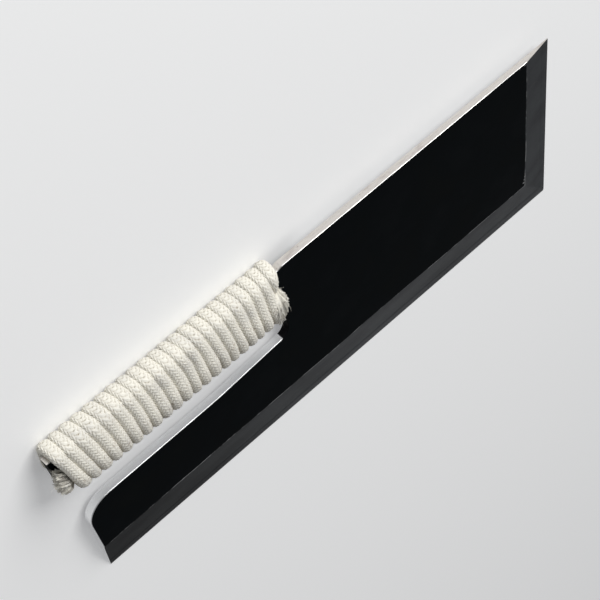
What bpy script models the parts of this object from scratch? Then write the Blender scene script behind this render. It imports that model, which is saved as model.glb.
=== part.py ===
"""Soba knife: a single-bevel forged blade whose bare tang is bound with cotton rope.

The knife is modelled in its own frame and then laid down by one parent empty. In the knife's frame
X runs from the butt of the tang to the front of the blade, Y = 0 is the spine with the cutting edge
at negative Y, and Z = 0 is the flat back. It rests on its cutting edge and on the rope.
"""

import math

import bmesh
import bpy
from mathutils import Matrix, Vector

# Outline of the forging
OVERALL_LENGTH = 0.3103
BLADE_HEIGHT = 0.1157
HEEL_X = 0.010
REAR_WALL_LEAN = 0.0034
REAR_CORNER_RADIUS = 0.0155
SLOT_FLOOR_Y = -0.0535
SLOT_FLOOR_RISE = 0.0038
SLOT_FLOOR_RISE_LENGTH = 0.0465
SLOT_FLOOR_BEND_RADIUS = 0.120
SLOT_FRONT_RADIUS = 0.008
TANG_LENGTH = 0.1315
TANG_LOWER_Y = -0.021
TANG_NECK_RADIUS = 0.0035
TANG_SHOULDER_LENGTH = 0.0025
TANG_SHOULDER_DROP = 0.0010
TANG_BUTT_DROP = 0.0020
TANG_BUTT_SLANT = 0.0016
TANG_BUTT_RADIUS = 0.0022
CORNER_STEPS = 6
EDGE_EASE = 0.00035

# Thickness and grinding
BUTT_THICKNESS = 0.0047
FRONT_THICKNESS = 0.0033
HARD_STEEL_THICKNESS = 0.0012
NECK_WELD_X = 0.150
NECK_WELD_Y = -0.044
EDGE_LAND = 0.00015
BEVEL_WIDTH_HEEL = 0.0257
BEVEL_WIDTH_FRONT = 0.0230
BEVEL_FADE_POWER = 3.0
BEVEL_STATIONS = 9
FRONT_BEVEL_WIDTH = 0.0180
FRONT_LAND = 0.0004
HOLLOW_RIM = 0.006
HOLLOW_SPINE_BAND = 0.012
HOLLOW_SLOPE_WIDTH = 0.018
HOLLOW_STEP_DEPTHS = (0.00018, 0.00010, 0.00006)
HOLLOW_FLOOR_RADIUS = 0.004

# Rope
ROPE_DIAMETER = 0.0048
TURN_GAP = 0.0010
FIRST_TURN_X = 0.0040
FIRST_TURN_SPREAD = 0.0015
WINDING_FRONT_SPACE = 0.0040
POINTS_PER_TURN = 24
LEAN_AT_BUTT = 0.0056
LEAN_AT_FRONT = 0.0002
BUTT_END_Y = -0.0135
FRONT_END_Y = -0.0085
FLOOR_CUT_SHARE = 0.1

# The rope's tail, laid along the front face under the turns, and the two frayed ends
TAIL_WIDTH = 0.0080
TAIL_THICKNESS = 0.0042
TAIL_MIDDLE_Y = -0.0162
TAIL_FRONT_SPACE = 0.0038
TAIL_SIDES = 12
BUTT_FRAY_LENGTH = 0.0078
BUTT_FRAY_WIDTH = 0.0120
BUTT_FRAY_THICKNESS = 0.0053
FRONT_FRAY_LENGTH = 0.0125
FRONT_FRAY_WIDTH = 0.0077
FRONT_FRAY_THICKNESS = 0.0067
FRONT_FRAY_SIDESTEP = 0.0020
FRAY_STEPS = 7
FRAY_OPEN_SHARE = 0.7
FRAY_TIP_SHARE = 0.55

# Clearance between pieces that touch, and the reach of the cutters past what they cut
FIT_GAP = 0.0003
CUTTER_REACH = 0.020

# Colours: linear RGB, metallic, roughness
SCALE_FINISH = ((0.012, 0.013, 0.015), 0.35, 0.45)
STEEL_FINISH = ((0.42, 0.42, 0.43), 1.0, 0.32)
ROPE_FINISH = ((0.80, 0.76, 0.66), 0.0, 0.90)


def clear_scene():
    """Empty the scene that the script starts in."""
    for item in list(bpy.data.objects):
        bpy.data.objects.remove(item, do_unlink=True)


def new_collection(name, hidden=False):
    collection = bpy.data.collections.new(name)
    bpy.context.scene.collection.children.link(collection)
    collection.hide_render = hidden
    return collection


def finish_material(name, finish):
    colour, metallic, roughness = finish
    material = bpy.data.materials.new(name)
    material.use_nodes = True
    shader = material.node_tree.nodes["Principled BSDF"]
    shader.inputs["Base Color"].default_value = (*colour, 1.0)
    shader.inputs["Metallic"].default_value = metallic
    shader.inputs["Roughness"].default_value = roughness
    material.diffuse_color = (*colour, 1.0)
    return material


def add_part(name, mesh, collection, material, parent):
    mesh.materials.clear()
    mesh.materials.append(material)
    part = bpy.data.objects.new(name, mesh)
    part.parent = parent
    collection.objects.link(part)
    return part


def add_cutter(name, mesh, collection, parent=None):
    cutter = bpy.data.objects.new(name, mesh)
    cutter.parent = parent
    cutter.hide_render = True
    cutter.display_type = "WIRE"
    collection.objects.link(cutter)
    return cutter


def cut(part, cutter, operation="DIFFERENCE"):
    modifier = part.modifiers.new(cutter.name, "BOOLEAN")
    modifier.operation = operation
    modifier.solver = "EXACT"
    modifier.object = cutter
    return modifier


def mesh_from_curve(curve):
    """Return the curve's evaluated mesh with its caps welded, and remove the curve."""
    holder = bpy.data.objects.new(curve.name, curve)
    bpy.context.scene.collection.objects.link(holder)
    bpy.context.view_layer.update()
    evaluated = holder.evaluated_get(bpy.context.evaluated_depsgraph_get())
    mesh = bpy.data.meshes.new_from_object(evaluated)
    bpy.data.objects.remove(holder, do_unlink=True)
    bpy.data.curves.remove(curve)
    shape = bmesh.new()
    shape.from_mesh(mesh)
    bmesh.ops.remove_doubles(shape, verts=shape.verts, dist=1e-6)
    bmesh.ops.recalc_face_normals(shape, faces=shape.faces)
    shape.to_mesh(mesh)
    shape.free()
    return mesh


def rounded_outline(corners, steps=CORNER_STEPS):
    """Return the points of a closed outline whose corners (x, y, radius) are rounded to arcs."""
    points = []
    for index, (x, y, radius) in enumerate(corners):
        corner = Vector((x, y))
        before = Vector(corners[index - 1][:2]) - corner
        after = Vector(corners[(index + 1) % len(corners)][:2]) - corner
        half_angle = before.angle(after) / 2.0
        setback = min(radius / math.tan(half_angle), 0.48 * before.length, 0.48 * after.length)
        if setback <= 0.0:
            points.append(corner)
            continue
        fillet = setback * math.tan(half_angle)
        toward_centre = (before.normalized() + after.normalized()).normalized()
        centre = corner + toward_centre * (fillet / math.sin(half_angle))
        start = corner + before.normalized() * setback - centre
        sweep = start.angle_signed(corner + after.normalized() * setback - centre)
        for step in range(steps + 1):
            turn = Matrix.Rotation(-sweep * step / steps, 2)
            points.append(centre + turn @ start)
    return points


def plate_mesh(name, points, low, high):
    """Return a flat plate with the given outline, from Z = low to Z = high."""
    curve = bpy.data.curves.new(name, "CURVE")
    curve.dimensions = "2D"
    curve.fill_mode = "BOTH"
    curve.extrude = (high - low) / 2.0
    spline = curve.splines.new("POLY")
    spline.points.add(len(points) - 1)
    for target, point in zip(spline.points, points):
        target.co = (point.x, point.y, 0.0, 1.0)
    spline.use_cyclic_u = True
    mesh = mesh_from_curve(curve)
    mesh.transform(Matrix.Translation((0.0, 0.0, (high + low) / 2.0)))
    return mesh


def forging_corners():
    """Corners of the whole forging, clockwise from the top of the tang's butt."""
    heel_top_x = HEEL_X - REAR_WALL_LEAN
    slot_bend_x = TANG_LENGTH - SLOT_FLOOR_RISE_LENGTH
    slot_front_y = SLOT_FLOOR_Y + SLOT_FLOOR_RISE
    return [
        (0.0, -TANG_BUTT_DROP, TANG_BUTT_RADIUS / 2.0),
        (TANG_LENGTH, -TANG_SHOULDER_DROP, 0.0),
        (TANG_LENGTH + TANG_SHOULDER_LENGTH, 0.0, 0.0),
        (OVERALL_LENGTH, 0.0, 0.0),
        (OVERALL_LENGTH, -BLADE_HEIGHT, 0.0),
        (HEEL_X, -BLADE_HEIGHT, 0.0),
        (heel_top_x, SLOT_FLOOR_Y, REAR_CORNER_RADIUS),
        (slot_bend_x, SLOT_FLOOR_Y, SLOT_FLOOR_BEND_RADIUS),
        (TANG_LENGTH, slot_front_y, SLOT_FRONT_RADIUS),
        (TANG_LENGTH, TANG_LOWER_Y, TANG_NECK_RADIUS),
        (TANG_BUTT_SLANT, TANG_LOWER_Y, TANG_BUTT_RADIUS),
    ]


def thickness_at(x):
    """Thickness of the forging, which tapers evenly from the butt to the front."""
    return BUTT_THICKNESS + (FRONT_THICKNESS - BUTT_THICKNESS) * x / OVERALL_LENGTH


def ease_rims(shape):
    """Chamfer the rims of the plate's front and back faces."""
    rims = []
    for edge in shape.edges:
        flat = abs(edge.verts[0].co.z - edge.verts[1].co.z) < 1e-7
        if flat and edge.is_manifold and edge.calc_face_angle() > math.radians(45.0):
            rims.append(edge)
    bmesh.ops.bevel(
        shape,
        geom=rims,
        offset=EDGE_EASE,
        affect="EDGES",
        segments=1,
        profile=0.5,
        material=-1,
    )


def forging_mesh():
    """The forging before it is ground: the outline, with eased rims and tapered in thickness."""
    mesh = plate_mesh("forging", rounded_outline(forging_corners()), 0.0, BUTT_THICKNESS)
    shape = bmesh.new()
    shape.from_mesh(mesh)
    bmesh.ops.dissolve_limit(
        shape, angle_limit=math.radians(0.05), verts=shape.verts, edges=shape.edges
    )
    ease_rims(shape)
    for vertex in shape.verts:
        vertex.co.z *= thickness_at(vertex.co.x) / BUTT_THICKNESS
    shape.to_mesh(mesh)
    shape.free()
    return mesh


def weld_region(inset):
    """Outline of the region that the hard steel covers, drawn back from the neck by inset."""
    far_x = OVERALL_LENGTH + CUTTER_REACH
    high_y = CUTTER_REACH
    neck_slope = (NECK_WELD_X - TANG_LENGTH) / -NECK_WELD_Y
    foot_y = NECK_WELD_Y - inset
    top_x = NECK_WELD_X + inset + neck_slope * high_y
    foot_x = TANG_LENGTH + inset
    return [
        Vector((-CUTTER_REACH, foot_y)),
        Vector((foot_x, foot_y)),
        Vector((top_x, high_y)),
        Vector((far_x, high_y)),
        Vector((far_x, -BLADE_HEIGHT - CUTTER_REACH)),
        Vector((-CUTTER_REACH, -BLADE_HEIGHT - CUTTER_REACH)),
    ]


def bevel_width_at(x):
    """Width of the ground bevel, which narrows towards the front."""
    share = max(0.0, x / OVERALL_LENGTH) ** BEVEL_FADE_POWER
    return BEVEL_WIDTH_HEEL + (BEVEL_WIDTH_FRONT - BEVEL_WIDTH_HEEL) * share


def wedge_section(foot, foot_z, border, border_z):
    """Section of a grinding cutter: two points on the ground slope and two above it."""
    slope = (border_z - foot_z) / (border - foot)
    past = CUTTER_REACH if border > foot else -CUTTER_REACH
    low = (foot - past, foot_z - slope * past)
    high = (border + past, border_z + slope * past)
    return [low, high, (high[0], CUTTER_REACH), (low[0], CUTTER_REACH)]


def loft(name, sections):
    """Join a row of four-point sections into one closed, triangulated solid."""
    shape = bmesh.new()
    rings = [[shape.verts.new(point) for point in section] for section in sections]
    for ring, following in zip(rings, rings[1:]):
        for index in range(4):
            after = (index + 1) % 4
            shape.faces.new((ring[index], ring[after], following[after], following[index]))
    shape.faces.new(rings[0])
    shape.faces.new(rings[-1])
    bmesh.ops.triangulate(shape, faces=shape.faces)
    bmesh.ops.recalc_face_normals(shape, faces=shape.faces)
    mesh = bpy.data.meshes.new(name)
    shape.to_mesh(mesh)
    shape.free()
    return mesh


def edge_bevel_mesh():
    """Cutter for the long bevel, from the front face down to the edge in the plane of the back."""
    sections = []
    start = -CUTTER_REACH
    span = OVERALL_LENGTH + 2.0 * CUTTER_REACH
    for station in range(BEVEL_STATIONS):
        x = start + span * station / (BEVEL_STATIONS - 1)
        border = -BLADE_HEIGHT + bevel_width_at(x)
        section = wedge_section(-BLADE_HEIGHT, EDGE_LAND, border, thickness_at(x))
        sections.append([(x, y, z) for y, z in section])
    return loft("edge_bevel", sections)


def front_bevel_mesh():
    """Cutter for the bevel along the front end of the blade."""
    border = OVERALL_LENGTH - FRONT_BEVEL_WIDTH
    section = wedge_section(OVERALL_LENGTH, FRONT_LAND, border, thickness_at(border))
    ends = (CUTTER_REACH, -BLADE_HEIGHT - CUTTER_REACH)
    return loft("front_bevel", [[(x, y, z) for x, z in section] for y in ends])


def hollow_mesh():
    """Cutter for the shallow hollow in the back: a stepped dish inside a flat rim."""
    rear_x = HEEL_X + HOLLOW_RIM
    front_x = OVERALL_LENGTH - HOLLOW_RIM
    low_y = -BLADE_HEIGHT + HOLLOW_RIM
    step_x = NECK_WELD_X + HOLLOW_RIM
    step_y = SLOT_FLOOR_Y - HOLLOW_RIM
    radius = min(HOLLOW_SLOPE_WIDTH + HOLLOW_FLOOR_RADIUS, 0.45 * (step_y - low_y))
    corners = [
        (step_x, -HOLLOW_SPINE_BAND, radius),
        (front_x, -HOLLOW_SPINE_BAND, radius),
        (front_x, low_y, radius),
        (rear_x, low_y, radius),
        (rear_x, step_y, radius),
        (step_x, step_y, radius),
    ]
    mesh = plate_mesh("back_hollow", rounded_outline(corners), -CUTTER_REACH, 0.0)
    shape = bmesh.new()
    shape.from_mesh(mesh)
    bmesh.ops.dissolve_limit(
        shape, angle_limit=math.radians(0.05), verts=shape.verts, edges=shape.edges
    )
    top = [face for face in shape.faces if face.normal.z > 0.9]
    step_width = min(HOLLOW_SLOPE_WIDTH, 0.8 * radius) / len(HOLLOW_STEP_DEPTHS)
    for depth in HOLLOW_STEP_DEPTHS:
        bmesh.ops.inset_region(shape, faces=top, thickness=step_width, depth=depth)
    shape.to_mesh(mesh)
    shape.free()
    return mesh


def turn_count():
    """How many times the rope passes over the spine between the butt and the neck."""
    room = TANG_LENGTH - WINDING_FRONT_SPACE - FIRST_TURN_X - FIRST_TURN_SPREAD
    return int(room / turn_pitch() + 1e-6) + 1


def turn_pitch():
    return ROPE_DIAMETER + TURN_GAP


def tang_top_y(x):
    """The tang's upper side falls gently from the shoulder to the butt."""
    share = min(1.0, max(0.0, x / TANG_LENGTH))
    return -TANG_BUTT_DROP + (TANG_BUTT_DROP - TANG_SHOULDER_DROP) * share


def tail_front_x():
    """The laid tail stops under the last whole turn."""
    return turn_start_x(turn_count() - 1) - TAIL_FRONT_SPACE


def core_circles(x):
    """What the rope is stretched round at X, as circles (y, z, radius) in the tang's section.

    They are the tang's four corners and the two sides of the flattened tail on its front face.
    """
    front_z = thickness_at(x)
    circles = [
        (tang_top_y(x), front_z, 0.0),
        (tang_top_y(x), 0.0, 0.0),
        (TANG_LOWER_Y, front_z, 0.0),
        (TANG_LOWER_Y, 0.0, 0.0),
    ]
    if x < tail_front_x() + ROPE_DIAMETER / 2.0:
        radius = TAIL_THICKNESS / 2.0
        reach = (TAIL_WIDTH - TAIL_THICKNESS) / 2.0
        tail_z = front_z + FIT_GAP + radius
        circles.append((TAIL_MIDDLE_Y + reach, tail_z, radius))
        circles.append((TAIL_MIDDLE_Y - reach, tail_z, radius))
    return circles


def centre_round_core(x, angle):
    """Rope centre where the stretched rope faces outward at the angle, measured from +Y to +Z."""
    outward = Vector((math.cos(angle), math.sin(angle)))
    y, z, radius = max(core_circles(x), key=lambda c: outward.dot(Vector(c[:2])) + c[2])
    return Vector((y, z)) + outward * (radius + FIT_GAP + ROPE_DIAMETER / 2.0)


def lean_share(y, angle):
    """How much of its lean a turn has made: all of it happens on the front face."""
    if angle > math.pi:
        return 1.0
    top_y = -TANG_SHOULDER_DROP
    return min(1.0, max(0.0, (top_y - y) / (top_y - TANG_LOWER_Y)))


def turn_start_x(turn):
    """Where a turn passes the spine's front corner; the first gap is the widest."""
    spread = FIRST_TURN_SPREAD if turn > 0 else 0.0
    return FIRST_TURN_X + spread + turn_pitch() * turn


def turn_points(turn, lean):
    """Centre points of one turn of rope, from the spine's front corner round to the spine again."""
    start_x = turn_start_x(turn)
    advance = turn_start_x(turn + 1) - start_x
    step = 2.0 * math.pi / POINTS_PER_TURN
    angles = [step * (index + 0.5) for index in range(POINTS_PER_TURN)]
    section = []
    for angle in angles:
        rough_x = start_x + advance * angle / (2.0 * math.pi)
        section.append(centre_round_core(rough_x, angle))
    lengths = [(after - before).length for before, after in zip(section, section[1:])]
    half_gap = (section[0] - section[-1]).length / 2.0
    whole = sum(lengths) + 2.0 * half_gap
    points = []
    travelled = half_gap
    for index, (y, z) in enumerate(section):
        steady = (advance - lean) * travelled / whole
        x = start_x + steady + lean * lean_share(y, angles[index])
        points.append(Vector((x, y, z)))
        if index < len(lengths):
            travelled += lengths[index]
    return points


def winding_path():
    """Centre line of the wound rope, from its end on the back to its end on the front face.

    Each turn passes the spine's front corner, leans forward over the laid tail, rounds the
    lower side, climbs the back and comes over the spine again.
    """
    turns = turn_count()
    back_straight = POINTS_PER_TURN * 3 // 4 - 1
    front_straight = POINTS_PER_TURN // 4
    path = turn_points(-1, LEAN_AT_BUTT)[back_straight:]
    path[0] = point_at_height(path[0], path[1], BUTT_END_Y)
    for turn in range(turns - 1):
        progress = turn / (turns - 1)
        path += turn_points(turn, LEAN_AT_BUTT + (LEAN_AT_FRONT - LEAN_AT_BUTT) * progress)
    path += turn_points(turns - 1, LEAN_AT_FRONT)[:front_straight]
    path.append(front_end_point(path[-1]))
    return path


def front_end_point(corner):
    """End of the wound rope, straight down the front face from the last bend."""
    drop = corner.y - FRONT_END_Y
    x = corner.x + LEAN_AT_FRONT * drop / -TANG_LOWER_Y
    return Vector((x, FRONT_END_Y, corner.z))


def point_at_height(upper, lower, y):
    """Point with the given Y on the straight line between two points."""
    return upper.lerp(lower, (y - upper.y) / (lower.y - upper.y))


def tube_mesh(name, path, radii, resolution):
    """A closed tube along the path, with one radius at each point."""
    curve = bpy.data.curves.new(name, "CURVE")
    curve.dimensions = "3D"
    curve.bevel_depth = ROPE_DIAMETER / 2.0
    curve.bevel_resolution = resolution
    curve.use_fill_caps = True
    spline = curve.splines.new("POLY")
    spline.points.add(len(path) - 1)
    for target, point, radius in zip(spline.points, path, radii):
        target.co = (*point, 1.0)
        target.radius = radius
    return mesh_from_curve(curve)


def dense_points(path, spacing):
    """Points along the path, close together, each with its distance from the start."""
    dense = []
    travelled = 0.0
    for start, end in zip(path, path[1:]):
        length = (end - start).length
        pieces = max(1, math.ceil(length / spacing))
        for piece in range(pieces):
            share = piece / pieces
            dense.append((start.lerp(end, share), travelled + length * share))
        travelled += length
    return dense


def least_self_gap(path):
    """Least distance between the surfaces of two stretches of rope that aren't neighbours."""
    dense = dense_points(path, ROPE_DIAMETER / 5.0)
    apart = 4.0 * ROPE_DIAMETER
    reach = 1.6 * (2.0 * (BUTT_THICKNESS - TANG_LOWER_Y) + 4.0 * ROPE_DIAMETER)
    least = OVERALL_LENGTH
    for index, (point, travelled) in enumerate(dense):
        for other, other_travelled in dense[index + 1:]:
            if other_travelled - travelled > reach:
                break
            if other_travelled - travelled > apart:
                least = min(least, (other - point).length)
    return least - ROPE_DIAMETER


def fray_swell(share, full):
    """Swell of a frayed end at a share of its length: it opens to full, then closes to its tip."""
    opening = math.sin(min(1.0, share / FRAY_OPEN_SHARE) * math.pi / 2.0) ** 2
    past = max(0.0, (share - FRAY_OPEN_SHARE) / (1.0 - FRAY_OPEN_SHARE))
    return (1.0 + (full - 1.0) * opening) * (1.0 - (1.0 - FRAY_TIP_SHARE) * past**2)


def frayed_strand_mesh(name, size, straight, fray, place):
    """A flattened strand along X, from -straight to 0, whose far end flares and closes again.

    The frayed end is drawn out of the end face in steps, each with its own width and thickness
    and its underside level. The place matrix then puts it on the forging.
    """
    width, thickness = size
    fray_length, fray_width, fray_thickness, sidestep = fray
    along = Matrix.Rotation(math.radians(90.0), 4, "Y")
    flatten = Matrix.Diagonal((straight, width, thickness, 1.0))
    middle = Matrix.Translation((-straight / 2.0, 0.0, thickness / 2.0))
    shape = bmesh.new()
    bmesh.ops.create_cone(
        shape,
        cap_ends=True,
        segments=TAIL_SIDES,
        radius1=0.5,
        radius2=0.5,
        depth=1.0,
        matrix=middle @ flatten @ along,
    )
    cap = max(shape.faces, key=lambda face: face.calc_center_median().x)
    wide, thick = 1.0, 1.0
    for step in range(1, FRAY_STEPS + 1):
        next_wide = fray_swell(step / FRAY_STEPS, fray_width / width)
        next_thick = fray_swell(step / FRAY_STEPS, fray_thickness / thickness)
        cap = bmesh.ops.extrude_discrete_faces(shape, faces=[cap])["faces"][0]
        grow = Matrix.Diagonal((1.0, next_wide / wide, next_thick / thick, 1.0))
        centre = Matrix.Translation(-cap.calc_center_median())
        bmesh.ops.transform(shape, matrix=grow, space=centre, verts=cap.verts)
        lift = (next_thick - thick) * thickness / 2.0
        move = Vector((fray_length / FRAY_STEPS, sidestep / FRAY_STEPS, lift))
        bmesh.ops.translate(shape, vec=move, verts=cap.verts)
        wide, thick = next_wide, next_thick
    bmesh.ops.transform(shape, matrix=place, verts=shape.verts)
    for vertex in shape.verts:
        vertex.co.z += thickness_at(vertex.co.x) + FIT_GAP
    bmesh.ops.recalc_face_normals(shape, faces=shape.faces)
    mesh = bpy.data.meshes.new(name)
    shape.to_mesh(mesh)
    shape.free()
    return mesh


def roll_angle():
    """Roll about X that lets the cutting edge and the rope touch the ground together."""
    stand_off = FIT_GAP + ROPE_DIAMETER * (1.0 - FLOOR_CUT_SHARE)
    return math.asin(stand_off / (BLADE_HEIGHT + TANG_LOWER_Y))


def box_mesh(name, size, centre):
    shape = bmesh.new()
    bmesh.ops.create_cube(shape, size=1.0, matrix=Matrix.Diagonal((*size, 1.0)))
    mesh = bpy.data.meshes.new(name)
    shape.to_mesh(mesh)
    shape.free()
    mesh.transform(Matrix.Translation(centre))
    return mesh


def build_blade(parts, cutters, laid):
    """The two welded layers of the forging, ground to the same bevels."""
    iron_material = finish_material("forge_scale", SCALE_FINISH)
    steel_material = finish_material("ground_steel", STEEL_FINISH)
    edge_bevel = add_cutter("cut_edge_bevel", edge_bevel_mesh(), cutters, laid)
    front_bevel = add_cutter("cut_front_bevel", front_bevel_mesh(), cutters, laid)

    pocket_mesh = plate_mesh(
        "steel_pocket", weld_region(0.0), -CUTTER_REACH, HARD_STEEL_THICKNESS + FIT_GAP
    )
    pocket = add_cutter("cut_steel_pocket", pocket_mesh, cutters, laid)
    iron = add_part("soft_iron_body", forging_mesh(), parts, iron_material, laid)
    cut(iron, pocket)
    cut(iron, edge_bevel)
    cut(iron, front_bevel)

    steel_block = plate_mesh("steel_block", weld_region(FIT_GAP), 0.0, HARD_STEEL_THICKNESS)
    steel = add_part("hard_steel_layer", steel_block, parts, steel_material, laid)
    profile_mesh = plate_mesh(
        "steel_profile", rounded_outline(forging_corners()), -CUTTER_REACH, CUTTER_REACH
    )
    profile = add_cutter("keep_forging_profile", profile_mesh, cutters, laid)
    hollow = add_cutter("cut_back_hollow", hollow_mesh(), cutters, laid)
    cut(steel, profile, "INTERSECT")
    cut(steel, edge_bevel)
    cut(steel, front_bevel)
    cut(steel, hollow)
    return iron, steel


def build_rope(parts, cutters, laid):
    """The winding, cut flat where it rests on the ground, and its two frayed ends."""
    material = finish_material("cotton_rope", ROPE_FINISH)
    path = winding_path()
    print("winding: least gap to itself", round(least_self_gap(path) * 1000.0, 3), "mm")
    winding_mesh = tube_mesh("rope_winding", path, [1.0] * len(path), 1)
    winding = add_part("rope_winding", winding_mesh, parts, material, laid)
    ground_size = (OVERALL_LENGTH * 4.0, BLADE_HEIGHT * 6.0, CUTTER_REACH)
    ground_mesh = box_mesh("ground", ground_size, (0.0, 0.0, -CUTTER_REACH / 2.0))
    cut(winding, add_cutter("cut_ground", ground_mesh, cutters))

    mouth_x = butt_mouth_x()
    tail_straight = tail_front_x() - mouth_x
    butt_fray = (BUTT_FRAY_LENGTH, BUTT_FRAY_WIDTH, BUTT_FRAY_THICKNESS, 0.0)
    turned = Matrix.Rotation(math.radians(180.0), 4, "Z")
    butt_place = Matrix.Translation((mouth_x, TAIL_MIDDLE_Y, 0.0)) @ turned
    tail_mesh = frayed_strand_mesh(
        "rope_tail", (TAIL_WIDTH, TAIL_THICKNESS), tail_straight, butt_fray, butt_place
    )
    add_part("rope_tail", tail_mesh, parts, material, laid)

    front_fray = (
        FRONT_FRAY_LENGTH, FRONT_FRAY_WIDTH, FRONT_FRAY_THICKNESS, FRONT_FRAY_SIDESTEP
    )
    down = Matrix.Rotation(math.radians(-90.0), 4, "Z")
    front_straight = FIT_GAP * 2.0
    front_y = FRONT_END_Y - FIT_GAP - front_straight
    front_place = Matrix.Translation((path[-1].x, front_y, 0.0)) @ down
    end_mesh = frayed_strand_mesh(
        "rope_end_front", (ROPE_DIAMETER, ROPE_DIAMETER), front_straight, front_fray, front_place
    )
    add_part("rope_end_front", end_mesh, parts, material, laid)


def butt_mouth_x():
    """Where the tail comes out from under the first turn."""
    lean = LEAN_AT_BUTT * lean_share(TAIL_MIDDLE_Y, 0.0)
    return FIRST_TURN_X + lean - ROPE_DIAMETER / 2.0


def footprint(parts):
    """Lowest and highest world corners of the finished parts."""
    bpy.context.view_layer.update()
    depsgraph = bpy.context.evaluated_depsgraph_get()
    low = Vector((math.inf,) * 3)
    high = Vector((-math.inf,) * 3)
    for part in parts.all_objects:
        if part.type != "MESH":
            continue
        evaluated = part.evaluated_get(depsgraph)
        for vertex in evaluated.data.vertices:
            place = evaluated.matrix_world @ vertex.co
            low = Vector(map(min, low, place))
            high = Vector(map(max, high, place))
    return low, high


def main():
    clear_scene()
    parts = new_collection("soba_knife")
    cutters = new_collection("cutters", hidden=True)
    laid = bpy.data.objects.new("laid_down", None)
    parts.objects.link(laid)
    laid.rotation_euler = (roll_angle(), 0.0, 0.0)
    laid.location = (0.0, 0.0, BLADE_HEIGHT * math.sin(roll_angle()))
    build_blade(parts, cutters, laid)
    build_rope(parts, cutters, laid)
    low, high = footprint(parts)
    laid.location.x -= (low.x + high.x) / 2.0
    laid.location.y -= (low.y + high.y) / 2.0


main()
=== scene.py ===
"""Studio scene for a soba knife: a forged single-bevel blade whose bare tang is rope-bound.

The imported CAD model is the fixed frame. Pieces are made in the knife's own frame, in metres: X runs
from the butt of the tang to the front of the blade, Y = 0 is the spine with the cutting edge at
negative Y, and Z = 0 is the flat back. LaidDown then puts them where the CAD model lies.
"""

import logging
import math
import random
from dataclasses import dataclass
from enum import Enum
from functools import reduce
from typing import Sequence

import bmesh
import bpy
from mathutils import Matrix, Vector, noise


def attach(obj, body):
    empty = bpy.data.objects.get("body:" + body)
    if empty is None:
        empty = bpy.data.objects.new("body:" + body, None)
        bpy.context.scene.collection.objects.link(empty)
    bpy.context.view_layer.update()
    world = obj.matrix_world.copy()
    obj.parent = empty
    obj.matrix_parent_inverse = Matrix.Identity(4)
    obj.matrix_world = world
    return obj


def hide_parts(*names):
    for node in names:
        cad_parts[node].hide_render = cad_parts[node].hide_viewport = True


Triple = tuple[float, float, float]
Socket = bpy.types.NodeSocket

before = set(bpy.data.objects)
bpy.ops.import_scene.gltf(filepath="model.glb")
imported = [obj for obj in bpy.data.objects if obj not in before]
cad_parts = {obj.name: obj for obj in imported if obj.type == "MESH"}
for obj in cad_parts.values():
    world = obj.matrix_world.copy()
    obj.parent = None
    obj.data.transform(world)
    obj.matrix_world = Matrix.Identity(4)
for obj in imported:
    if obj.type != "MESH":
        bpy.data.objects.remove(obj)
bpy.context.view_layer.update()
LOG = logging.getLogger("soba_knife")
MM = 0.001
TOUCHING = 1e-7
CURVED_DEGREES = 180.0
GOLDEN_SHARE = 0.618034


class Slot(Enum):
    """Names of the record's material slots."""

    SCALE = "forge_scale"
    STEEL = "ground_steel"
    ROPE = "cotton_rope"


class Layer(Enum):
    """The two forged plates that are welded into one blade."""

    SOFT_IRON = "soft_iron_body"
    HARD_STEEL = "hard_steel_layer"


@dataclass(frozen=True)
class LaidDown:
    """How the knife's own frame lies on the floor."""

    roll: float = 0.04880501329898834
    place: Triple = (-0.15417799353599548, 0.05577778443694115, 0.005644498392939568)

    def matrix(self) -> Matrix:
        """Matrix from the knife's frame to the floor's."""
        return Matrix.Translation(self.place) @ Matrix.Rotation(self.roll, 4, "X")


LAID = LaidDown()


def smooth_step(value: float) -> float:
    """Ease from 0 to 1 as the value goes from 0 to 1, flat outside."""
    held = min(1.0, max(0.0, value))
    return held * held * (3.0 - 2.0 * held)


def soft_least(first: float, second: float, radius: float) -> float:
    """Least of two heights, with the corner between them rounded over the radius."""
    share = max(radius - abs(first - second), 0.0) / radius
    return min(first, second) - share * share * radius * 0.25


def stand(name: str, data: bpy.types.ID) -> bpy.types.Object:
    """Put an object with the data in the scene."""
    item = bpy.data.objects.new(name, data)
    bpy.context.scene.collection.objects.link(item)
    return item


def as_mesh(name: str, shape: bmesh.types.BMesh) -> bpy.types.Mesh:
    """Mesh of a bmesh, which is freed."""
    mesh = bpy.data.meshes.new(name)
    shape.to_mesh(mesh)
    shape.free()
    return mesh


def settled_mesh(item: bpy.types.Object) -> bpy.types.Mesh:
    """Mesh of an object as it is drawn, after which the object is removed."""
    bpy.context.view_layer.update()
    evaluated = item.evaluated_get(bpy.context.evaluated_depsgraph_get())
    mesh = bpy.data.meshes.new_from_object(evaluated)
    bpy.data.objects.remove(item, do_unlink=True)
    return mesh


def draw_up(shape: bmesh.types.BMesh, height: float) -> None:
    """Draw a flat shape up to a closed plate."""
    drawn = bmesh.ops.extrude_face_region(shape, geom=list(shape.faces))["geom"]
    lifted = [item for item in drawn if isinstance(item, bmesh.types.BMVert)]
    bmesh.ops.translate(shape, vec=(0.0, 0.0, height), verts=lifted)
    bmesh.ops.recalc_face_normals(shape, faces=shape.faces)


def keep(
    mesh: bpy.types.Mesh, name: str, values: Sequence[float], domain: str = "POINT"
) -> None:
    """Keep a value on each point or face of a mesh, for its finish to read."""
    mesh.attributes.new(name, "FLOAT", domain).data.foreach_set("value", values)


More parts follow.
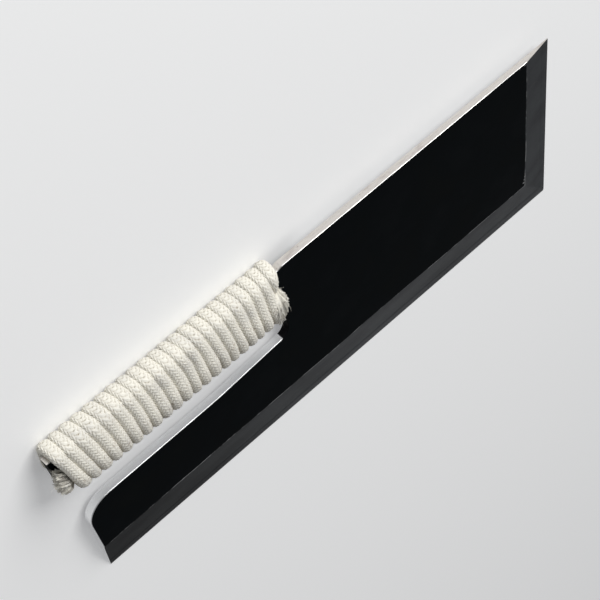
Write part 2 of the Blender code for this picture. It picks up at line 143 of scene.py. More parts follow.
def add_piece(
    name: str,
    mesh: bpy.types.Mesh,
    materials: Sequence[bpy.types.Material],
    node: str,
    smooth_degrees: float,
) -> None:
    """Put a finished mesh on the floor as a piece of the knife.

    Args:
        name: The piece's name.
        mesh: Its mesh, in the knife's frame.
        materials: Its materials, in the order of its face indices.
        node: The CAD node that the piece stands for.
        smooth_degrees: Edges with a sharper turn than this stay crisp.
    """
    mesh.name = name
    mesh.transform(LAID.matrix())
    for material in materials:
        mesh.materials.append(material)
    mesh.polygons.foreach_set("use_smooth", [True] * len(mesh.polygons))
    mesh.set_sharp_from_angle(angle=math.radians(smooth_degrees))
    piece = stand(name, mesh)
    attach(piece, "root")
    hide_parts(node)
    LOG.info("%s: %d faces", name, len(mesh.polygons))


# --------------------------------------------------------------------------- finishes


class NodeBench:
    """Adds and joins the nodes of one material."""

    def __init__(self, name: str) -> None:
        """Start a material with its Principled shader."""
        self.material = bpy.data.materials.new(name)
        self.material.use_nodes = True
        self.tree = self.material.node_tree
        self.shader = self.tree.nodes["Principled BSDF"]

    def add(self, kind: str, inputs: dict, **settings: object) -> bpy.types.Node:
        """Add a node of the kind, set its properties and feed its inputs."""
        node = self.tree.nodes.new(kind)
        for key, value in settings.items():
            setattr(node, key, value)
        for key, source in inputs.items():
            self.feed(node.inputs[key], source)
        return node

    def feed(self, target: Socket, source: object) -> None:
        """Join a socket to the target, or write a plain value or colour on it."""
        if isinstance(source, Socket):
            self.tree.links.new(source, target)
        else:
            target.default_value = (*source, 1.0) if target.type == "RGBA" else source

    def knife_position(self) -> Socket:
        """Object coordinates turned back into the knife's own frame."""
        place = self.add("ShaderNodeTexCoord", {}).outputs["Object"]
        inputs = {"Vector": place, "Location": LAID.place, "Rotation": (LAID.roll, 0.0, 0.0)}
        return self.add("ShaderNodeMapping", inputs, vector_type="TEXTURE").outputs["Vector"]

    def stretched(self, position: Socket, scale: Triple) -> Socket:
        """The position scaled by its own factor along each axis."""
        return self.add("ShaderNodeMapping", {"Vector": position, "Scale": scale}).outputs["Vector"]

    def axes(self, position: Socket) -> bpy.types.NodeOutputs:
        """The position's X, Y and Z outputs."""
        return self.add("ShaderNodeSeparateXYZ", {0: position}).outputs

    def attribute(self, name: str) -> Socket:
        """Value that the mesh keeps under the name."""
        return self.add("ShaderNodeAttribute", {}, attribute_name=name).outputs["Fac"]

    def noise(
        self, position: Socket, scale: float, detail: float = 3.0, roughness: float = 0.5
    ) -> Socket:
        """Noise from 0 to 1 at the scale, in waves per metre."""
        inputs = {"Vector": position, "Scale": scale, "Detail": detail, "Roughness": roughness}
        return self.add("ShaderNodeTexNoise", inputs).outputs[0]

    def math(self, operation: str, first: object, second: object = 0.0) -> Socket:
        """Result of a Math node on two sockets or numbers."""
        return self.add("ShaderNodeMath", {0: first, 1: second}, operation=operation).outputs[0]

    def times(self, *factors: object) -> Socket:
        """Product of sockets or numbers."""
        return reduce(lambda first, second: self.math("MULTIPLY", first, second), factors)

    def fade(
        self, value: Socket, low: float, high: float, start: float = 0.0, end: float = 1.0
    ) -> Socket:
        """Smooth change from start to end as the value goes from low to high."""
        inputs = dict(enumerate((value, low, high, start, end)))
        settings = {"interpolation_type": "SMOOTHSTEP", "clamp": True}
        return self.add("ShaderNodeMapRange", inputs, **settings).outputs[0]

    def between(self, share: object, first: object, second: object) -> Socket:
        """Number between two numbers."""
        inputs = {0: share, 2: first, 3: second}
        return self.add("ShaderNodeMix", inputs, data_type="FLOAT").outputs[0]

    def blend(self, share: object, first: object, second: object) -> Socket:
        """Colour between two colours."""
        inputs = {0: share, 6: first, 7: second}
        return self.add("ShaderNodeMix", inputs, data_type="RGBA").outputs[2]

    def coated(self, colour: object, *coats: tuple[object, object]) -> Socket:
        """Colour under coats that are laid one over another, each a share and a colour."""
        for share, coat in coats:
            colour = self.blend(share, colour, coat)
        return colour

    def bump(self, height: Socket, strength: float, distance: float = 0.00010) -> None:
        """Let the height disturb the shader's normal."""
        inputs = {"Height": height, "Strength": strength, "Distance": distance}
        bump = self.add("ShaderNodeBump", inputs)
        self.feed(self.shader.inputs["Normal"], bump.outputs["Normal"])

    def dress(self, **sockets: object) -> bpy.types.Material:
        """Feed the shader's inputs, named with underscores for spaces.

        Args:
            **sockets: Values or sockets, such as Base_Color or Roughness.

        Returns:
            The material.
        """
        for key, source in sockets.items():
            self.feed(self.shader.inputs[key.replace("_", " ")], source)
        return self.material


@dataclass(frozen=True)
class SteelLook:
    """Ground steel: fine lines along the blade in a hazy grey, with a painted highlight along the
    honed edge and painted shade that darkens the bevel towards the heel.
    """

    colour: Triple = (0.042, 0.050, 0.056)
    cloud: Triple = (0.028, 0.033, 0.038)
    painted_shade_colour: Triple = (0.0, 0.0, 0.0)
    honed_highlight: Triple = (0.62, 0.62, 0.62)
    painted_light_along: tuple[float, float] = (0.010, 0.200)
    heel_painted_light: float = 0.17
    front_painted_light: float = 0.78
    front_bevel_along: tuple[float, float] = (0.289, 0.294)
    front_bevel_painted_light: float = 0.22
    roughness: float = 0.34
    honed_roughness: float = 0.20
    cutting_edge_y: float = -115.7 * MM
    honed_highlight_width: float = 0.55 * MM

    def add_to(self, bench: NodeBench, position: Socket) -> tuple[Socket, Socket, Socket]:
        """Add the look's nodes.

        Args:
            bench: The material's bench.
            position: The knife position socket.

        Returns:
            Sockets with the colour, the roughness and the height of the grinding lines.
        """
        lines = bench.noise(bench.stretched(position, (0.030, 1.0, 0.2)), 5200.0, 2.0, 0.6)
        haze = bench.noise(bench.stretched(position, (0.35, 1.0, 1.0)), 55.0, 4.0, 0.55)
        x, y, _ = bench.axes(position)
        # Painted light and shade: the bevel is drawn darker towards the heel and lighter on the front
        # bevel.
        level = bench.fade(x, *self.painted_light_along, self.heel_painted_light, self.front_painted_light)
        lift = bench.fade(x, *self.front_bevel_along, 0.0, self.front_bevel_painted_light)
        # Painted highlight: a bright band along the honed cutting edge.
        low = self.cutting_edge_y + self.honed_highlight_width * 0.6
        honed_highlight = bench.fade(y, low, low + self.honed_highlight_width * 0.5, 1.0, 0.0)
        colour = bench.coated(
            self.cloud,
            (bench.fade(haze, 0.35, 0.68), self.colour),
            (bench.fade(lines, 0.45, 0.75, 0.0, 0.05), self.honed_highlight),
        )
        # The painted shade colour shows wherever the painted light is low.
        colour = bench.blend(bench.math("ADD", level, lift), self.painted_shade_colour, colour)
        colour = bench.blend(honed_highlight, colour, self.honed_highlight)
        rough = bench.fade(haze, 0.3, 0.7, self.roughness + 0.05, self.roughness - 0.04)
        return colour, bench.between(honed_highlight, rough, self.honed_roughness), lines

    def painted_mirror_share(self, bench: NodeBench, position: Socket) -> Socket:
        """How much the bevel mirrors: a painted reflection that darkens from the front towards the
        heel.
        """
        return bench.fade(bench.axes(position)[0], *self.painted_light_along, self.heel_painted_light, 1.0)


@dataclass(frozen=True)
class ForgedIronFinish:
    """Smooth black forge scale that a wavy line parts from the ground bevels, with a painted
    highlight along that crest and on the chips.
    """

    scale_colour: Triple = (0.0014, 0.0024, 0.0031)
    scale_patch: Triple = (0.0032, 0.0040, 0.0042)
    scale_roughness: float = 0.50
    roughness_range: float = 0.07
    border_wave: float = 1.10 * MM
    border_fringe: float = 0.22 * MM
    border_blur: float = 0.10 * MM
    painted_crest_glint: float = 0.30 * MM
    painted_glint_share: float = 0.70
    # Spots chipped to bare steel, (x, y, radius); each also carries the painted highlight.
    chips: tuple[Triple, ...] = (
        (0.2921, -0.0846, 0.00060),
        (0.2917, -0.0868, 0.00050),
        (0.2912, -0.0890, 0.00060),
        (0.2912, -0.0004, 0.00085),
        (0.2875, -0.0003, 0.00060),
        (0.1962, -0.0003, 0.00040),
        (0.2419, -0.0002, 0.00038),
    )
    steel: SteelLook = SteelLook()

    def material(self) -> bpy.types.Material:
        """Build the material."""
        bench = NodeBench("forged_iron")
        position = bench.knife_position()
        steel_colour, steel_rough, lines = self.steel.add_to(bench, position)
        broad = bench.noise(position, 38.0, 4.0, 0.6)
        grain = bench.noise(position, 950.0, 3.0, 0.6)
        scale = bench.blend(bench.fade(broad, 0.45, 0.72), self.scale_colour, self.scale_patch)
        least, most = (self.scale_roughness + way * self.roughness_range for way in (-1, 1))
        scale_rough = bench.fade(broad, 0.3, 0.7, least, most)
        bare, glint = self.border(bench, position, grain)
        # Painted highlight on the crest and the chips, in the honed edge's bright colour.
        steel_colour = bench.blend(
            bench.times(glint, self.painted_glint_share), steel_colour, self.steel.honed_highlight
        )
        bench.bump(bench.between(bare, grain, bench.times(lines, 0.35)), 0.22)
        return bench.dress(
            Base_Color=bench.blend(bare, scale, steel_colour),
            Metallic=bench.times(bare, self.steel.painted_mirror_share(bench, position)),
            Roughness=bench.between(bare, scale_rough, steel_rough),
            Specular_IOR_Level=0.025,
        )

    def border(
        self, bench: NodeBench, position: Socket, grain: Socket
    ) -> tuple[Socket, Socket]:
        """Where the scale ends.

        Args:
            bench: The material's bench.
            position: The knife position socket.
            grain: Fine noise that the chips are ragged with.

        Returns:
            Sockets with how bare the steel is, and how much painted highlight the crest and the chips
            carry.
        """
        wave = bench.times(bench.noise(position, 27.0, 2.0), self.border_wave * 2.0)
        fringe = bench.times(bench.noise(position, 420.0, 3.0), self.border_fringe * 2.0)
        shifted = bench.math("ADD", bench.attribute("crest"), bench.math("ADD", wave, fringe))
        middle = self.border_wave + self.border_fringe
        blur, glint = self.border_blur, self.painted_crest_glint
        bare = bench.fade(shifted, middle - blur * 1.2, middle + blur)
        rising = bench.fade(shifted, middle - blur, middle + blur)
        falling = bench.fade(shifted, middle + glint, middle + glint * 2.2)
        broken = bench.fade(bench.noise(position, 130.0), 0.42, 0.60)
        # Painted highlight: a broken bright band just past the crest.
        glint = bench.times(bench.math("SUBTRACT", rising, falling), broken)
        for x, y, radius in self.chips:
            flat = bench.stretched(position, (1.0, 1.0, 0.0))
            inputs = {0: flat, 1: (x, y, 0.0)}
            away = bench.add("ShaderNodeVectorMath", inputs, operation="DISTANCE")
            edge = bench.math("ADD", away.outputs["Value"], bench.times(grain, radius * 1.2))
            chip = bench.fade(edge, radius * 1.5, radius * 1.8, 1.0, 0.0)
            bare = bench.math("MAXIMUM", bare, chip)
            # A chip carries the painted highlight as well as bare steel.
            glint = bench.math("MAXIMUM", glint, chip)
        return bare, glint


@dataclass(frozen=True)
class ForgedWallFinish:
    """The forging's sides: drawn steel with a bright worn rim, black where scale is left."""

    steel_colour: Triple = (0.72, 0.69, 0.65)
    worn_colour: Triple = (0.40, 0.35, 0.33)
    polished_colour: Triple = (0.86, 0.865, 0.87)
    rim_colour: Triple = (0.38, 0.375, 0.37)
    scale_colour: Triple = (0.006, 0.006, 0.007)
    neck_from: float = 0.1262
    neck_fade: float = 0.0020

    def material(self) -> bpy.types.Material:
        """Build the material."""
        bench = NodeBench("forged_wall")
        position = bench.knife_position()
        drawn = bench.noise(bench.stretched(position, (0.02, 1.0, 1.0)), 3600.0, 3.0, 0.6)
        wear = bench.noise(bench.stretched(position, (0.25, 1.0, 1.0)), 240.0, 4.0, 0.6)
        nicks = bench.noise(bench.stretched(position, (0.6, 1.0, 1.0)), 520.0, 2.0, 0.5)
        x, y, _ = bench.axes(position)
        polished = bench.fade(y, -0.030, -0.026, 1.0, 0.0)
        rim = bench.attribute("rim")
        dull = bench.times(polished, bench.fade(x, 0.029, 0.033, 1.0, 0.35))
        kept = bench.math("SUBTRACT", 1.0, dull)
        broken = bench.times(rim, bench.fade(wear, 0.36, 0.56), kept)
        black = bench.math("MAXIMUM", bench.attribute("scaled"), self.black_walls(bench, x, y))
        black = bench.fade(bench.math("ADD", black, bench.times(wear, 0.6)), 0.62, 0.95)
        colour = bench.coated(
            self.steel_colour,
            (bench.fade(wear, 0.52, 0.72, 0.0, 0.6), self.worn_colour),
            (bench.fade(drawn, 0.45, 0.7, 0.0, 0.3), self.worn_colour),
            (bench.fade(nicks, 0.66, 0.74, 0.0, 0.7), self.worn_colour),
            (polished, self.polished_colour),
            (broken, self.rim_colour),
            (black, self.scale_colour),
        )
        bench.bump(drawn, 0.25, 0.00008)
        rough = bench.between(polished, bench.fade(wear, 0.35, 0.7, 0.28, 0.42), 0.10)
        rough = bench.between(rim, rough, 0.40)
        return bench.dress(
            Base_Color=colour,
            Metallic=bench.fade(black, 0.0, 1.0, 1.0, 0.0),
            Roughness=bench.between(black, rough, 0.6),
            Specular_IOR_Level=bench.between(black, 0.5, 0.02),
        )

    def black_walls(self, bench: NodeBench, x: Socket, y: Socket) -> Socket:
        """1 on the butt's end and round the slot's front end, where the sides are left black."""
        butt = bench.times(
            bench.fade(x, 0.0016, 0.0024, 1.0, 0.0), bench.fade(y, -0.0027, -0.0022, 1.0, 0.0)
        )
        neck = bench.times(
            bench.fade(x, self.neck_from, self.neck_from + self.neck_fade),
            bench.fade(y, -0.024, -0.020, 1.0, 0.0),
            bench.fade(x, 0.150, 0.151, 1.0, 0.0),
        )
        return bench.math("MAXIMUM", butt, neck)


@dataclass(frozen=True)
class FlatBackFinish:
    """The back: a bright honed rim round a duller hollow, both with lines along the blade."""

    rim_colour: Triple = (0.46, 0.46, 0.47)
    hollow_colour: Triple = (0.30, 0.30, 0.31)
    cloud_colour: Triple = (0.22, 0.21, 0.20)

    def material(self) -> bpy.types.Material:
        """Build the material."""
        bench = NodeBench("flat_back")
        position = bench.knife_position()
        lines = bench.noise(bench.stretched(position, (0.03, 1.0, 1.0)), 3800.0, 3.0, 0.65)
        cloud = bench.fade(bench.noise(position, 30.0, 4.0, 0.6), 0.4, 0.7, 0.0, 0.3)
        sunk = bench.attribute("sunk")
        grain = bench.fade(lines, 0.3, 0.7, -0.04, 0.06)
        bench.bump(lines, 0.25)
        return bench.dress(
            Base_Color=bench.coated(
                self.rim_colour, (sunk, self.hollow_colour), (cloud, self.cloud_colour)
            ),
            Metallic=1.0,
            Roughness=bench.math("ADD", bench.between(sunk, 0.24, 0.38), grain),
        )


@dataclass(frozen=True)
class BevelSteelFinish:
    """The ground bevel where it runs on to the hard steel."""

    steel: SteelLook = SteelLook()

    def material(self) -> bpy.types.Material:
        """Build the material."""
        bench = NodeBench("bevel_steel")
        position = bench.knife_position()
        colour, rough, lines = self.steel.add_to(bench, position)
        bench.bump(lines, 0.10)
        return bench.dress(
            Base_Color=colour,
            Metallic=self.steel.painted_mirror_share(bench, position),
            Roughness=rough,
            Specular_IOR_Level=0.025,
        )


@dataclass(frozen=True)
class CottonFinish:
    """Undyed cotton yarn: cream, with brown painted shade deep between the turns and in the braid's
    hollows, and brown flecks.
    """

    cream: Triple = (0.92, 0.895, 0.81)
    grey: Triple = (0.70, 0.69, 0.66)
    shade: Triple = (0.52, 0.47, 0.37)
    pinhole_shade: Triple = (0.20, 0.16, 0.11)
    crevice_shade: Triple = (0.33, 0.28, 0.19)
    fleck: Triple = (0.30, 0.215, 0.15)
    soil: Triple = (0.20, 0.18, 0.15)
    threads_per_strand: int = 3

    def material(self) -> bpy.types.Material:
        """Build the material."""
        bench = NodeBench("cotton_rope")
        position = bench.knife_position()
        y = bench.axes(position)[1]
        lift = bench.attribute("lift")
        patches = bench.noise(position, 110.0, 3.0, 0.6)
        yarn = bench.noise(position, 2100.0, 3.0, 0.6)
        flecks = bench.noise(position, 720.0, 3.0, 0.6)
        threads = self.threads(bench)
        handled = bench.fade(y, -0.022, -0.002, 0.90, 0.20)
        # Painted shade in the braid's pinholes, where the strands part.
        hole = bench.fade(lift, 0.44, 0.60, 0.80, 0.0)
        # Painted shade deep between the turns, drawn stronger towards the lower side of the front
        # face and none near the spine.
        deep = bench.fade(bench.attribute("seat"), 0.20, 0.90, 0.0, 0.70)
        colour = bench.coated(
            self.cream,
            (bench.fade(patches, 0.42, 0.72, 0.0, 0.55), self.grey),
            # Painted shade in the braid's low spots between the strands.
            (bench.fade(lift, 0.42, 0.80, 0.85, 0.0), self.shade),
            (bench.times(hole, bench.fade(patches, 0.3, 0.6, 0.35, 1.0)), self.pinhole_shade),
            (bench.times(bench.fade(flecks, 0.57, 0.68), handled), self.fleck),
            (bench.fade(yarn, 0.50, 0.72, 0.0, 0.20), self.shade),
            # Painted shade in the grooves between the fine threads.
            (bench.fade(threads, -1.0, -0.2, 0.28, 0.0), self.shade),
            # Painted shade between the turns.
            (bench.times(deep, bench.fade(y, -0.024, -0.002, 1.0, 0.0)), self.crevice_shade),
            (bench.attribute("soiled"), self.soil),
        )
        bench.bump(bench.math("ADD", yarn, bench.times(threads, 0.22)), 0.55, 0.00016)
        return bench.dress(
            Base_Color=colour,
            Roughness=0.92,
            Specular_IOR_Level=0.18,
            Sheen_Weight=0.12,
            Sheen_Roughness=0.55,
        )

    def threads(self, bench: NodeBench) -> Socket:
        """Waves from -1 to 1 across the fine threads of the strand that lies on top."""
        chart = bench.axes(bench.add("ShaderNodeUVMap", {}, uv_map="braid").outputs["UV"])
        wave = 2.0 * math.pi * self.threads_per_strand
        runs = (bench.math(way, chart[0], chart[1]) for way in ("SUBTRACT", "ADD"))
        ways = [bench.math("SINE", bench.times(run, wave)) for run in runs]
        return bench.between(bench.attribute("lead"), *ways)


# --------------------------------------------------------------------------- the forging


@dataclass
class Forging:
    """The blade and its tang: one outline, tapered in thickness and ground along two sides.

    The rear corner and the butt's corner at the spine follow the photograph more closely than the
    CAD model does. All other sizes are the CAD model's.
    """

    overall_length: float = 0.3103
    blade_height: float = 0.1157
    heel_x: float = 0.010
    rear_wall_lean: float = 0.0034
    rear_corner_radius: float = 0.0200
    slot_floor_y: float = -0.0535
    slot_floor_rise: float = 0.0038
    slot_floor_rise_length: float = 0.0465
    slot_floor_bend_radius: float = 0.120
    slot_front_radius: float = 0.008
    tang_length: float = 0.1315
    tang_lower_y: float = -0.021
    tang_neck_radius: float = 0.0035
    tang_shoulder_length: float = 0.0025
    tang_shoulder_drop: float = 0.0010
    tang_butt_drop: float = 0.0020
    tang_butt_slant: float = 0.0016
    tang_butt_radius: float = 0.0022
    tang_spine_radius: float = 0.0004
    corner_segments: int = 14
    butt_thickness: float = 0.0047
    front_thickness: float = 0.0033
    rim_ease: float = 0.00035
    rim_segments: int = 2
    edge_land: float = 0.00015
    bevel_width_heel: float = 0.0257
    bevel_width_front: float = 0.0230
    bevel_fade_power: float = 3.0
    front_bevel_width: float = 0.0180
    front_land: float = 0.0004
    crest_roundness: float = 0.00005
    hard_steel_thickness: float = 0.0012
    neck_weld_x: float = 0.150
    neck_weld_y: float = -0.044
    weld_gap: float = 0.00001
    hollow_depth: float = 0.00034
    hollow_rim: float = 0.006
    hollow_spine_band: float = 0.012
    hollow_slope: float = 0.016
    cell: float = 0.003
    crest_cell: float = 0.00025
    cutter_reach: float = 0.020
    flat_rise: float = 0.94
    rim_rise: float = 0.1
    crisp_degrees: float = 12.0

    def corners(self) -> list[Triple]:
        """Corners of the outline with the radius that each is rounded to."""
        slot_front_y = self.slot_floor_y + self.slot_floor_rise
        slot_bend_x = self.tang_length - self.slot_floor_rise_length
        shoulder_x = self.tang_length + self.tang_shoulder_length
        return [
            (0.0, -self.tang_butt_drop, self.tang_spine_radius),
            (self.tang_length, -self.tang_shoulder_drop, 0.0),
            (shoulder_x, 0.0, 0.0),
            (self.overall_length, 0.0, 0.0),
            (self.overall_length, -self.blade_height, 0.0),
            (self.heel_x, -self.blade_height, 0.0),
            (self.heel_x - self.rear_wall_lean, self.slot_floor_y, self.rear_corner_radius),
            (slot_bend_x, self.slot_floor_y, self.slot_floor_bend_radius),
            (self.tang_length, slot_front_y, self.slot_front_radius),
            (self.tang_length, self.tang_lower_y, self.tang_neck_radius),
            (self.tang_butt_slant, self.tang_lower_y, self.tang_butt_radius),
        ]

    def thickness(self, x: float) -> float:
        """Thickness of the forging at X."""
        change = self.front_thickness - self.butt_thickness
        return self.butt_thickness + change * x / self.overall_length

    def bevel_border(self, x: float) -> float:
        """Y of the crest between the scale and the long bevel."""
        share = max(0.0, x / self.overall_length) ** self.bevel_fade_power
        width = self.bevel_width_heel + (self.bevel_width_front - self.bevel_width_heel) * share
        return width - self.blade_height

    def front_border(self) -> float:
        """X of the crest between the scale and the front bevel."""
        return self.overall_length - self.front_bevel_width

    def crest(self, x: float, y: float) -> float:
        """How far a point lies past the nearer crest, positive on the bevels."""
        return max(self.bevel_border(x) - y, x - self.front_border())

    def face_height(self, x: float, y: float) -> float:
        """Height of the ground front face at a point."""
        full = self.thickness(x)
        border = self.bevel_border(x)
        rise = (full - self.edge_land) / (border + self.blade_height)
        long_bevel = self.edge_land + rise * (y + self.blade_height)
        border_thickness = self.thickness(self.front_border())
        rise = (border_thickness - self.front_land) / self.front_bevel_width
        front_bevel = self.front_land + rise * (self.overall_length - x)
        bevels = soft_least(long_bevel, front_bevel, self.crest_roundness)
        return soft_least(full, bevels, self.crest_roundness)

    def hollow_share(self, x: float, y: float) -> float:
        """How deep the back is hollowed at a point, from 0 on the rim to 1 in the middle."""

        def dish(low_x: float, low_y: float, high_x: float, high_y: float) -> float:
            """Share inside one rounded rectangle."""
            reaches = (x - low_x, high_x - x, y - low_y, high_y - y)
            return math.prod(smooth_step(reach / self.hollow_slope) for reach in reaches)

        front = self.overall_length - self.hollow_rim
        low = self.hollow_rim - self.blade_height
        blade = dish(self.neck_weld_x + self.hollow_rim, low, front, -self.hollow_spine_band)
        heel = dish(self.heel_x + self.hollow_rim, low, front, self.slot_floor_y - self.hollow_rim)
        return 1.0 - (1.0 - blade) * (1.0 - heel)

    def outline_plate(self) -> bmesh.types.BMesh:
        """The outline with rounded corners, drawn up to a plate with eased rims."""
        shape = bmesh.new()
        corners = self.corners()
        points = [shape.verts.new((x, y, 0.0)) for x, y, _ in corners]
        shape.faces.new(points)
        for index, (x, y, radius) in enumerate(corners):
            if radius <= 0.0:
                continue
            corner = Vector((x, y))
            before = Vector(corners[index - 1][:2]) - corner
            after = Vector(corners[(index + 1) % len(corners)][:2]) - corner
            half = before.angle(after) / 2.0
            setback = min(radius / math.tan(half), 0.48 * before.length, 0.48 * after.length)
            bmesh.ops.bevel(
                shape,
                geom=[points[index]],
                offset=setback * math.sin(half),
                offset_type="OFFSET",
                affect="VERTICES",
                segments=self.corner_segments,
                profile=0.5,
                material=-1,
            )
        draw_up(shape, self.butt_thickness)
        bmesh.ops.bevel(
            shape,
            geom=[edge for edge in shape.edges if self.is_eased(edge)],
            offset=self.rim_ease,
            affect="EDGES",
            segments=self.rim_segments,
            profile=0.5,
            material=-1,
        )
        return shape

    def is_eased(self, edge: bmesh.types.BMEdge) -> bool:
        """Whether an edge is a rim that is eased: the ground sides stay crisp."""
        start, end = (vertex.co for vertex in edge.verts)
        if abs(start.z - end.z) > TOUCHING:
            return False
        middle = (start + end) / 2.0
        on_edge = middle.y < 1e-5 - self.blade_height
        on_front = middle.x > self.overall_length - 1e-5
        return not on_edge and not on_front

    def slice_lines(self) -> list[tuple[Vector, Vector]]:
        """Points and normals of the upright planes that divide the faces into small cells."""
        low, high = self.bevel_border(0.0), self.bevel_border(self.overall_length)
        crest_rows = int(abs(high - low) / self.crest_cell) + 5
        across = [step * self.cell for step in range(1, int(self.overall_length / self.cell) + 1)]
        along = [-step * self.cell for step in range(1, int(self.blade_height / self.cell) + 1)]
        along += [max(low, high) + (2 - step) * self.crest_cell for step in range(crest_rows)]
        front = [self.front_border() + step * self.crest_cell for step in range(-3, 4)]
        planes = [(Vector((x, 0, 0)), Vector((1, 0, 0))) for x in across]
        planes += [(Vector((0, y, 0)), Vector((0, 1, 0))) for y in along]
        return planes + [(Vector((x, 0, 0)), Vector((1, 0, 0))) for x in front]

    def corner_crest(self) -> tuple[Vector, Vector]:
        """Plane through the crest where the long bevel meets the front bevel."""
        full = self.thickness(self.front_border())
        border_y = self.bevel_border(self.front_border())
        long_rise = (full - self.edge_land) / (border_y + self.blade_height)
        front_rise = (full - self.front_land) / self.front_bevel_width
        foot_y = (self.front_land - self.edge_land) / long_rise - self.blade_height
        along = Vector((-long_rise, front_rise, 0.0))
        normal = along.cross(Vector((0.0, 0.0, 1.0))).normalized()
        return Vector((self.overall_length, foot_y, 0.0)), normal

    def ground_shape(self) -> bpy.types.Mesh:
        """The whole forging, cut into cells and ground to its front face and hollow back."""
        shape = self.outline_plate()
        for point, normal in self.slice_lines():
            geom = [*shape.verts, *shape.edges, *shape.faces]
            bmesh.ops.bisect_plane(shape, geom=geom, dist=TOUCHING, plane_co=point, plane_no=normal)
        foot, normal = self.corner_crest()
        faces = [
            face
            for face in shape.faces
            if face.calc_center_median().x > self.front_border() - self.cell
            and face.calc_center_median().y < self.bevel_border(self.front_border()) + self.cell
        ]
        edges = {edge for face in faces for edge in face.edges}
        corners = {vertex for face in faces for vertex in face.verts}
        geom = [*corners, *edges, *faces]
        bmesh.ops.bisect_plane(shape, geom=geom, dist=TOUCHING, plane_co=foot, plane_no=normal)
        for vertex in shape.verts:
            x, y, z = vertex.co
            front = z * self.thickness(x) / self.butt_thickness
            front = min(front, self.face_height(x, y))
            back = self.hollow_depth * self.hollow_share(x, y) if z < 1e-6 else 0.0
            vertex.co.z = max(front, back)
        bmesh.ops.dissolve_degenerate(shape, dist=1e-6, edges=shape.edges)
        bmesh.ops.recalc_face_normals(shape, faces=shape.faces)
        return as_mesh("forging", shape)

    def weld_block(self, inset: float, low: float, high: float) -> bmesh.types.BMesh:
        """Block over the region that the hard steel covers, drawn back from the neck by inset."""
        slope = (self.neck_weld_x - self.tang_length) / -self.neck_weld_y
        reach = self.cutter_reach
        foot_y = self.neck_weld_y - inset
        bottom = -self.blade_height - reach
        points = [
            (-reach, foot_y),
            (self.tang_length + inset, foot_y),
            (self.neck_weld_x + inset + slope * reach, reach),
            (self.overall_length + reach, reach),
            (self.overall_length + reach, bottom),
            (-reach, bottom),
        ]
        shape = bmesh.new()
        shape.faces.new([shape.verts.new((x, y, low)) for x, y in points])
        draw_up(shape, high - low)
        return shape

    def cut_layer(self, whole: bpy.types.Mesh, layer: Layer) -> bpy.types.Mesh:
        """One welded layer of the forging.

        Args:
            whole: The ground forging.
            layer: Which layer is wanted.

        Returns:
            The layer's mesh, with a hair's gap where it meets the other.
        """
        is_iron = layer is Layer.SOFT_IRON
        height = self.hard_steel_thickness + (self.weld_gap if is_iron else 0.0)
        block = self.weld_block(0.0 if is_iron else self.weld_gap, -self.cutter_reach, height)
        block_mesh = as_mesh("weld_block", block)
        cutter = stand("weld_block", block_mesh)
        holder = stand(layer.value, whole)
        modifier = holder.modifiers.new("weld", "BOOLEAN")
        modifier.operation = "DIFFERENCE" if is_iron else "INTERSECT"
        modifier.solver = "EXACT"
        modifier.object = cutter
        mesh = settled_mesh(holder)
        bpy.data.objects.remove(cutter, do_unlink=True)
        bpy.data.meshes.remove(block_mesh)
        return mesh

    def mark(self, mesh: bpy.types.Mesh) -> None:
        """Keep on the mesh what its finishes need, and give each face its finish."""
        places = [vertex.co.copy() for vertex in mesh.vertices]
        rises = [polygon.normal.z for polygon in mesh.polygons]
        keep(mesh, "crest", [self.crest(place.x, place.y) for place in places])
        keep(mesh, "sunk", [self.hollow_share(place.x, place.y) for place in places])
        keep(mesh, "scaled", [self.scaled_share(place) for place in places])
        keep(mesh, "rim", [float(self.rim_rise < rise < self.flat_rise) for rise in rises], "FACE")
        for polygon, rise in zip(mesh.polygons, rises):
            on_wall = abs(rise) < self.flat_rise
            polygon.material_index = 1 if on_wall else 2 if rise < 0.0 else 0

    def scaled_share(self, place: Vector) -> float:
        """How much scale is left on the forging's sides at a point."""
        butt_end = smooth_step((0.0022 - place.x) / 0.0006)
        butt_end *= smooth_step((-0.0040 - place.y) / 0.0008)
        under_tang = smooth_step((self.tang_lower_y + 0.001 - place.y) / 0.001)
        under_tang *= smooth_step((self.tang_length - 0.001 - place.x) / 0.002)
        under_tang *= 1.0 - smooth_step((-0.045 - place.y) / 0.004)
        return max(butt_end, under_tang)

    def build(self) -> None:
        """Make both layers as pieces."""
        whole = self.ground_shape()
        wall = ForgedWallFinish().material()
        back = FlatBackFinish().material()
        faces = {
            Layer.SOFT_IRON: (ForgedIronFinish().material(), Slot.SCALE),
            Layer.HARD_STEEL: (BevelSteelFinish().material(), Slot.STEEL),
        }
        for layer, (face, slot) in faces.items():
            mesh = self.cut_layer(whole, layer)
            self.mark(mesh)
            materials = (face, wall, back if layer is Layer.HARD_STEEL else face)
            name = layer.value.replace("_body", "_forging").replace("_layer", "_plate")
            add_piece(name, mesh, materials, layer.value, self.crisp_degrees)
        bpy.data.meshes.remove(whole)


# --------------------------------------------------------------------------- the rope's route


